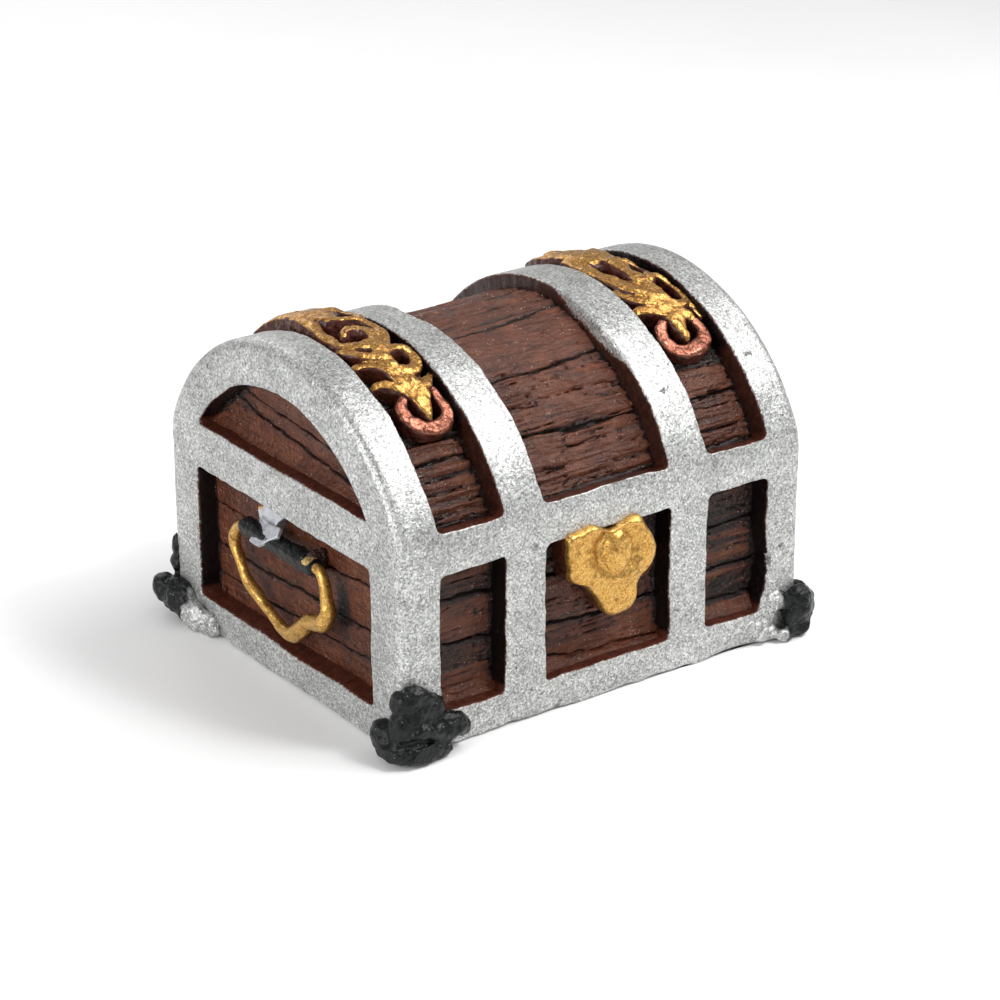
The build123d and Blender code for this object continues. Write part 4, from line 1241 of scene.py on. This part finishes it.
def heap_height(x, y):
    """Height of the treasure's surface under the coins."""
    high = node_box("coin_heap")[1]
    share = np.clip(1 - (x / (high[0] + 2)) ** 2, 0, 1) * np.clip(1 - (y / (high[1] + 2)) ** 2, 0, 1)
    rise = high[2] - 1.3 - HEAP_EDGE_Z
    return HEAP_EDGE_Z + rise * share**0.8 + 0.5 * fbm(x, y, 0.0, 7.0, 801, 2)


def coin_heap():
    """A cast heap with coins lying over it and a vent hole for the bubbles."""
    high = node_box("coin_heap")[1]
    reach_x, reach_y = high[0] - 0.05, high[1] - 0.05
    x, y = np.meshgrid(np.linspace(-reach_x, reach_x, 120), np.linspace(-reach_y, reach_y, 100))
    z = heap_height(x, y)
    vent = hump(np.hypot(x, y - VENT_Y), 0.0, VENT_RADIUS, 4)
    top = np.stack([x, y, z - VENT_DEPTH * vent], axis=-1)
    back_x, back_y = np.meshgrid(np.linspace(-reach_x, reach_x, 3), np.linspace(-reach_y, reach_y, 3))
    parts = [closed_sheet(top, np.stack([back_x, back_y, np.full((3, 3), FLOOR_Z)], axis=-1))]
    random = np.random.default_rng(811)
    spots = []
    for _ in range(4000):
        spot = random.uniform((-reach_x + 2.6, -reach_y + 2.6), (reach_x - 2.6, reach_y - 2.6))
        near_vent = math.hypot(spot[0], spot[1] - VENT_Y) < VENT_CLEAR
        if not near_vent and all(np.hypot(*(spot - other)) > COIN_SPACING for other in spots):
            spots.append(spot)
    for spot in spots:
        points, faces = coin(random.uniform(*COIN_RADII))
        tilt = Matrix.Rotation(random.uniform(-COIN_TILT, COIN_TILT), 3, "X")
        tilt = tilt @ Matrix.Rotation(random.uniform(-COIN_TILT, COIN_TILT), 3, "Y")
        height = float(heap_height(np.array(spot[0]), np.array(spot[1]))) + random.uniform(0.1, 0.5)
        placed = points @ np.array(tilt).T + np.array([spot[0], spot[1], height])
        parts.append((placed, faces))
    points, normals, faces = fuse(parts, voxel=0.3, smoothing=1)
    points = np.clip(points, (-reach_x, -reach_y, FLOOR_Z), (reach_x, reach_y, high[2]))
    points = swell(points, normals, 0.05 * fbm(*points.T, 1.2, 821, 2))
    dip = heap_height(points[:, 0], points[:, 1]) - points[:, 2]
    paint = 1 - smooth_step(dip + 0.3 * fbm(*points.T, 2.0, 823, 2), 0.0, 0.5)
    make_piece(
        "treasure_heap", points, faces, "chest", "gold_paint", ["coin_heap"], gold_paint, paint=paint,
    )


# ---------------------------------------------------------------- materials
class Shader:
    """A material under construction. Lengths in its textures are millimetres."""

    def __init__(self, name):
        self.material = bpy.data.materials.new(name)
        self.material.use_nodes = True
        self.tree = self.material.node_tree
        self.tree.nodes.clear()
        place = self.node("TexCoord").outputs["Object"]
        self.place = self.node("VectorMath", {0: place, "Scale": 1 / MM}, operation="SCALE").outputs[0]

    def node(self, kind, inputs=None, **settings):
        made = self.tree.nodes.new("ShaderNode" + kind)
        for key, value in settings.items():
            setattr(made, key, value)
        for key, value in (inputs or {}).items():
            if isinstance(value, bpy.types.NodeSocket):
                self.tree.links.new(value, made.inputs[key])
            else:
                made.inputs[key].default_value = value
        return made

    def math(self, operation, a, b):
        return self.node("Math", {0: a, 1: b}, operation=operation).outputs[0]

    def plus(self, a, b):
        return self.math("ADD", a, b)

    def times(self, a, b):
        return self.math("MULTIPLY", a, b)

    def stretch(self, scale):
        """Place in millimetres, divided by a size along each axis."""
        factor = tuple(1 / s for s in scale)
        return self.node("VectorMath", {0: self.place, 1: factor}, operation="MULTIPLY").outputs[0]

    def noise(self, size, detail=3.0, rough=0.55, stretch=None):
        vector = self.stretch(stretch) if stretch else self.place
        inputs = {"Vector": vector, "Scale": 1 / size, "Detail": detail, "Roughness": rough}
        return self.node("TexNoise", inputs).outputs["Fac"]

    def cells(self, size, output="Color", stretch=None):
        vector = self.stretch(stretch) if stretch else self.place
        return self.node("TexVoronoi", {"Vector": vector, "Scale": 1 / size}).outputs[output]

    def ramp(self, value, stops):
        made = self.node("ValToRGB", {"Fac": value})
        elements = made.color_ramp.elements
        while len(elements) < len(stops):
            elements.new(0.5)
        for element, (position, colour) in zip(elements, stops):
            element.position = position
            element.color = colour if len(colour) == 4 else (*colour, 1)
        return made.outputs["Color"]

    def fade(self, value, low, high, start=0.0, end=1.0):
        """Value taken from low..high to start..end with soft ends, held beyond."""
        inputs = {"Value": value, "From Min": low, "From Max": high, "To Min": start, "To Max": end}
        return self.node("MapRange", inputs, interpolation_type="SMOOTHSTEP").outputs["Result"]

    def mix(self, share, a, b, blend="MIX"):
        made = self.node("Mix", data_type="RGBA", blend_type=blend)
        for socket, value in zip((made.inputs[0], made.inputs[6], made.inputs[7]), (share, a, b)):
            if isinstance(value, bpy.types.NodeSocket):
                self.tree.links.new(value, socket)
            else:
                socket.default_value = value if isinstance(value, float) else (*value, 1)
        return made.outputs[2]

    def shaded(self, colour, value):
        """Colour made lighter or darker by a value."""
        grey = self.node("CombineColor", {0: value, 1: value, 2: value}).outputs[0]
        return self.mix(1.0, colour, grey, "MULTIPLY")

    def attribute(self, name):
        return self.node("Attribute", attribute_name=name).outputs["Fac"]

    def bump(self, height, distance, normal=None):
        inputs = {"Height": height, "Distance": distance * MM}
        if normal is not None:
            inputs["Normal"] = normal
        return self.node("Bump", inputs).outputs["Normal"]

    def finish(self, colour, metallic, roughness, normal=None, **settings):
        inputs = {"Base Color": colour, "Metallic": metallic, "Roughness": roughness}
        if normal is not None:
            inputs["Normal"] = normal
        for key, value in settings.items():
            inputs[key.replace("_", " ").title().replace("Ior", "IOR")] = value
        surface = self.node("BsdfPrincipled", inputs)
        output = self.node("OutputMaterial")
        self.tree.links.new(surface.outputs[0], output.inputs["Surface"])
        return self.material


def silver_flake(shader):
    """Colour and bump of aluminium-flake paint over a sandy cast surface."""
    flake = shader.cells(0.27)
    fine = shader.noise(0.2, 2.0)
    wide = shader.noise(5.0, 4.0, 0.6)
    grain = shader.plus(shader.times(flake, 0.62), shader.times(fine, 0.62))
    tone = shader.ramp(grain, [(0.22, (0.13, 0.134, 0.13)), (0.52, (0.42, 0.425, 0.415)),
                               (0.78, (0.70, 0.71, 0.69)), (0.95, (1.0, 1.0, 1.0))])
    uneven = shader.fade(wide, 0.25, 0.75, 0.80, 1.08)
    tone = shader.shaded(tone, shader.times(uneven, 0.88))
    speck = shader.cells(3.1, "Distance", (1, 0.8, 1.7))
    pit = shader.plus(speck, shader.times(shader.noise(0.35), 0.16))
    pit = shader.fade(pit, 0.10, 0.17, 1.0, 0.0)
    scratch = shader.noise(1.5, 3.0, 0.6, (2.2, 0.9, 1.6))
    scuff = shader.fade(scratch, 0.66, 0.73)
    grime = shader.math("MAXIMUM", pit, scuff)
    tone = shader.mix(shader.times(grime, 0.65), tone, (0.07, 0.07, 0.068))
    return tone, grain, grime


def make_silver(name):
    """Silver paint on a casting: bare brown shows in the bays, where the brush didn't reach."""
    shader = Shader(name)
    tone, grain, grime = silver_flake(shader)
    ragged = shader.times(shader.math("SUBTRACT", shader.noise(0.55, 3.0), 0.5), 0.28)
    wall = shader.attribute("edge")
    bare = shader.fade(shader.plus(wall, ragged), 0.04, 0.15)
    # Bay walls with painted light: an orange lit rim just under the silver, browner and slightly darker
    # lower down, and near black where painted shade and dark wash fall.
    lit_rim = [(0.0, (0.30, 0.115, 0.035)), (0.10, (0.11, 0.032, 0.014))]
    plain = shader.ramp(wall, lit_rim + [(0.17, (0.080, 0.021, 0.012)), (0.6, (0.060, 0.016, 0.009))])
    pooled = shader.ramp(wall, lit_rim + [(0.145, (0.045, 0.013, 0.008)), (0.19, (0.006, 0.003, 0.003))])
    brown = shader.mix(shader.attribute("pool"), plain, pooled)
    brown = shader.shaded(brown, shader.fade(shader.noise(1.1, 3.0), 0.35, 0.7, 0.7, 1.3))
    colour = shader.mix(bare, tone, brown)
    metal = shader.times(shader.math("SUBTRACT", 1.0, bare), 0.62)
    rough_metal = shader.plus(0.38, shader.times(grime, 0.3))
    rough = shader.plus(rough_metal, shader.times(bare, -0.16))
    normal = shader.bump(grain, 0.045)
    normal = shader.bump(shader.noise(0.8, 4.0), 0.12, normal)
    return shader.finish(colour, metal, rough, normal, specular_ior_level=0.24)


def make_strip(name):
    """Smooth pale strip with a dab of gold."""
    shader = Shader(name)
    tone = shader.ramp(shader.noise(1.8, 4.0), [(0.3, (0.42, 0.43, 0.46)), (0.7, (0.66, 0.67, 0.71))])
    gold = shader.ramp(shader.noise(0.3, 2.0), [(0.3, (0.50, 0.24, 0.05)), (0.7, (0.80, 0.46, 0.13))])
    smear = shader.fade(shader.noise(0.9, 3.0, 0.6, (1.0, 2.5, 0.8)), 0.62, 0.70)
    tone = shader.mix(shader.times(smear, 0.6), tone, (0.16, 0.08, 0.08))
    colour = shader.mix(shader.attribute("dab"), tone, gold)
    normal = shader.bump(shader.noise(0.5, 3.0), 0.03)
    return shader.finish(colour, 0.55, 0.38, normal)


def make_brown(name, dark=False):
    """Glossy brown stain over moulded wood grain, with painted shade taking it nearly black in hollows."""
    shader = Shader(name)
    grain = shader.noise(0.5, 4.0, 0.6, (9.0, 9.0, 0.9))
    patch = shader.noise(4.0, 4.0)
    if dark:
        base = shader.ramp(patch, [(0.25, (0.018, 0.008, 0.005)), (0.75, (0.045, 0.020, 0.012))])
    else:
        base = shader.ramp(patch, [(0.28, (0.068, 0.016, 0.006)), (0.5, (0.106, 0.028, 0.010)),
                                   (0.64, (0.140, 0.042, 0.017)), (0.74, (0.23, 0.051, 0.025))])
        ragged = shader.times(shader.noise(0.22, 3.0), 0.14)
        # Painted shade: deep places, the walls of the bays and the boards round the scrolls go nearly
        # black.
        pooled = shader.fade(shader.plus(shader.attribute("hollow"), ragged), 0.14, 0.52)
        base = shader.mix(pooled, base, (0.010, 0.004, 0.003))
    base = shader.mix(shader.fade(grain, 0.45, 0.72, 0.0, 0.7), base, (0.028, 0.009, 0.005))
    # Pale specks painted on the boards as glints.
    glint_specks = shader.fade(shader.cells(0.55, "Distance", (1.0, 1.0, 0.7)), 0.13, 0.24, 1.0, 0.0)
    glint_specks = shader.times(glint_specks, shader.fade(shader.noise(1.5, 3.0), 0.54, 0.62))
    base = shader.mix(shader.times(glint_specks, 0.5), base, (0.60, 0.48, 0.42))
    rough = shader.fade(shader.noise(1.3, 3.0), 0.3, 0.7, 0.10, 0.26)
    normal = shader.bump(shader.noise(0.42, 4.0, 0.6, (7.0, 7.0, 1.0)), 0.20)
    normal = shader.bump(shader.noise(0.75, 4.0, 0.6), 0.45, normal)
    return shader.finish(base, 0.0, rough, normal, specular_ior_level=0.38)


def make_gilt(name, bright, mid, low_tone, under):
    """Metallic craft paint brushed over a brown casting."""
    shader = Shader(name)
    flake = shader.cells(0.20)
    fine = shader.noise(0.3, 3.0)
    grain = shader.plus(shader.times(flake, 0.5), shader.times(fine, 0.7))
    metal_tone = shader.ramp(grain, [(0.25, low_tone), (0.55, mid), (0.88, bright)])
    stain = shader.noise(1.6, 4.0)
    metal_tone = shader.mix(shader.fade(stain, 0.54, 0.72, 0.0, 0.8), metal_tone, low_tone)
    brushed = shader.times(shader.math("SUBTRACT", shader.noise(0.5, 3.0), 0.5), 0.8)
    cover = shader.fade(shader.plus(shader.attribute("paint"), brushed), 0.35, 0.60)
    mottled = shader.fade(shader.noise(0.7, 3.0), 0.3, 0.7, 0.45, 1.35)
    colour = shader.mix(cover, shader.shaded(under, mottled), metal_tone)
    metal = shader.times(cover, 0.86)
    rough = shader.fade(stain, 0.3, 0.7, 0.26, 0.40)
    normal = shader.bump(grain, 0.03)
    normal = shader.bump(shader.noise(0.8, 4.0), 0.12, normal)
    return shader.finish(colour, metal, rough, normal, specular_ior_level=0.4)


def make_black(name, dab=False):
    """Thick glossy black over a pimpled casting."""
    shader = Shader(name)
    patch = shader.noise(2.2, 4.0)
    base = shader.ramp(patch, [(0.3, (0.002, 0.003, 0.003)), (0.6, (0.005, 0.006, 0.006)),
                               (0.85, (0.016, 0.018, 0.017))])
    # Pale grey specks painted on the black as glints.
    speck = shader.fade(shader.cells(0.7, "Distance"), 0.10, 0.20, 1.0, 0.0)
    speck = shader.times(speck, shader.fade(shader.noise(2.0), 0.52, 0.6))
    base = shader.mix(shader.times(speck, 0.45), base, (0.5, 0.5, 0.5))
    if dab:
        cover, metallic, duller = shader.attribute("dab"), 0.8, 0.0
        tone = shader.ramp(shader.noise(0.3, 2.0), [(0.3, (0.55, 0.33, 0.08)), (0.7, (0.95, 0.75, 0.35))])
    else:
        cover, metallic, duller = shader.attribute("silver"), 0.6, 0.22
        tone = silver_flake(shader)[0]
    base = shader.mix(cover, base, tone)
    metal = shader.times(cover, metallic)
    rough = shader.fade(shader.noise(1.0, 3.0), 0.3, 0.7, 0.12, 0.32)
    rough = shader.plus(rough, shader.times(cover, duller))
    normal = shader.bump(shader.noise(0.5, 4.0, 0.6), 0.16)
    normal = shader.bump(shader.noise(1.4, 3.0), 0.22, normal)
    return shader.finish(base, metal, rough, normal, specular_ior_level=0.26)


def make_plain(name, dark, light, metallic, rough_low, rough_high, size, bump_depth, **settings):
    """Moulded or turned part: mottled colour, uneven gloss, fine texture."""
    shader = Shader(name)
    base = shader.ramp(shader.noise(size, 4.0, 0.6), [(0.25, dark), (0.75, light)])
    specks = shader.fade(shader.cells(size * 0.7, "Distance"), 0.03, 0.12, 1.0, 0.0)
    base = shader.mix(shader.times(specks, 0.35), base, tuple(0.5 * value for value in dark))
    rough = shader.fade(shader.noise(size * 1.7, 3.0), 0.3, 0.7, rough_low, rough_high)
    normal = shader.bump(shader.noise(size * 0.4, 4.0, 0.6), bump_depth)
    return shader.finish(base, metallic, rough, normal, **settings)


silver_paint = make_silver("silver_flake_paint")
cuff_silver = make_strip("silver_strip")
brown_varnish = make_brown("brown_stained_boards")
dark_varnish = make_brown("dark_stained_casting", dark=True)
gold_paint = make_gilt(
    "gold_craft_paint", bright=(0.80, 0.54, 0.20), mid=(0.57, 0.305, 0.060),
    low_tone=(0.24, 0.090, 0.022), under=(0.075, 0.021, 0.010),
)
scroll_gold = make_gilt(
    "gold_on_scrolls", bright=(0.74, 0.45, 0.15), mid=(0.42, 0.205, 0.048),
    low_tone=(0.19, 0.062, 0.022), under=(0.075, 0.019, 0.010),
)
copper_paint = make_gilt(
    "copper_craft_paint", bright=(0.44, 0.195, 0.13), mid=(0.24, 0.078, 0.048),
    low_tone=(0.115, 0.032, 0.020), under=(0.070, 0.017, 0.010),
)
black_paint = make_black("black_gloss_paint")
grip_black = make_black("black_grip_paint", dab=True)
fitting_plastic = make_plain(
    "milky_plastic", (0.60, 0.64, 0.62), (0.78, 0.81, 0.79), metallic=0.0,
    rough_low=0.18, rough_high=0.32, size=2.5, bump_depth=0.02,
    transmission_weight=0.25, ior=1.49,
)
hose_rubber = make_plain(
    "soft_hose", (0.42, 0.45, 0.44), (0.55, 0.58, 0.57), metallic=0.0,
    rough_low=0.3, rough_high=0.45, size=3.0, bump_depth=0.02,
)
stone_grit = make_plain(
    "air_stone", (0.10, 0.16, 0.26), (0.22, 0.31, 0.44), metallic=0.0,
    rough_low=0.85, rough_high=0.95, size=0.5, bump_depth=0.12,
)
pin_steel = make_plain(
    "hinge_steel", (0.42, 0.42, 0.43), (0.60, 0.60, 0.61), metallic=1.0,
    rough_low=0.22, rough_high=0.38, size=0.8, bump_depth=0.01,
)
plain_silver = make_silver("silver_on_fittings")

# ---------------------------------------------------------------- making everything
base_ironwork()
lid_ironwork()
base_planks()
lid_planks()
lunette_planks()
base_lining()
lid_lining()
scroll_pieces("left", LEFT_SCROLL, LEFT_RING)
scroll_pieces("right", RIGHT_SCROLL, RIGHT_RING)
lock_plate()
feet()
for handle_side, sign in (("left", -1), ("right", 1)):
    bail(handle_side, sign)
    grip(handle_side, sign)
    cuff(handle_side, sign)
    clip(handle_side, sign)
coin_heap()

NODE_LOOKS = {
    "air_inlet": fitting_plastic,
    "air_hose": hose_rubber,
    "air_stone": stone_grit,
    "hinge_leaf_base_left": plain_silver,
    "hinge_leaf_base_right": plain_silver,
    "hinge_leaf_lid_left": plain_silver,
    "hinge_leaf_lid_right": plain_silver,
    "hinge_pin_left": pin_steel,
    "hinge_pin_right": pin_steel,
}
for node_name, look in NODE_LOOKS.items():
    mesh_data = nodes[node_name].data
    mesh_data.materials.clear()
    mesh_data.materials.append(look)


# ---------------------------------------------------------------- floor, light and camera
FLOOR_REACH = 3000
UNDER_FEET = -0.02


def studio_floor():
    """Pale sheet a hair below the chest."""
    corners = [(-1, -1), (1, -1), (1, 1), (-1, 1)]
    points = [(x * FLOOR_REACH * MM, y * FLOOR_REACH * MM, UNDER_FEET * MM) for x, y in corners]
    mesh = bpy.data.meshes.new("studio_floor")
    mesh.from_pydata(points, [], [(0, 1, 2, 3)])
    floor = bpy.data.objects.new("studio_floor", mesh)
    bpy.context.scene.collection.objects.link(floor)
    shader = Shader("pale_floor")
    tone = shader.ramp(shader.noise(60.0, 2.0), [(0.3, (0.95, 0.95, 0.95)), (0.7, (0.98, 0.98, 0.98))])
    mesh.materials.append(shader.finish(tone, metallic=0.0, roughness=0.7))


def softbox(name, direction, distance, size, watts):
    """Square area light that faces the chest from a direction."""
    light = bpy.data.lights.new(name, "AREA")
    light.size = size * MM
    light.energy = watts
    lamp = bpy.data.objects.new(name, light)
    bpy.context.scene.collection.objects.link(lamp)
    way = Vector(direction).normalized()
    target = Vector((0, 0, 25)) * MM
    lamp.location = target + way * distance * MM
    lamp.rotation_euler = (-way).to_track_quat("-Z", "Y").to_euler()


def studio():
    """White surroundings, a broad soft light from above, a small hard one and two weak fills."""
    world = bpy.data.worlds.new("studio")
    world.use_nodes = True
    background = world.node_tree.nodes["Background"]
    background.inputs["Color"].default_value = (1.0, 1.0, 1.0, 1)
    background.inputs["Strength"].default_value = 0.42
    bpy.context.scene.world = world
    softbox("top_softbox", (0.54, -0.27, 0.81), distance=420, size=300, watts=1.25)
    softbox("key_light", (0.30, -0.52, 0.80), distance=480, size=80, watts=0.75)
    softbox("left_fill", (-0.95, -0.1, 0.35), distance=520, size=300, watts=1.5)
    softbox("back_fill", (0.1, 0.9, 0.5), distance=520, size=320, watts=0.5)
    bpy.context.scene.view_settings.view_transform = "Standard"


def camera():
    """Camera at the viewing angle of a product picture: front left, a little above."""
    azimuth, elevation = math.radians(-35.94), math.radians(23.58)
    distance = 547.18
    target = Vector((3.07, 0.0, 19.87))
    level = math.cos(elevation)
    back = Vector((math.sin(azimuth) * level, -math.cos(azimuth) * level, math.sin(elevation)))
    data = bpy.data.cameras.new("camera")
    data.lens = 126.0
    data.sensor_width = 36.0
    data.clip_start = 0.01
    data.clip_end = 10.0
    eye = bpy.data.objects.new("camera", data)
    bpy.context.scene.collection.objects.link(eye)
    eye.location = (target + back * distance) * MM
    eye.rotation_euler = (-back).to_track_quat("-Z", "Y").to_euler()
    bpy.context.scene.camera = eye


studio_floor()
studio()
camera()
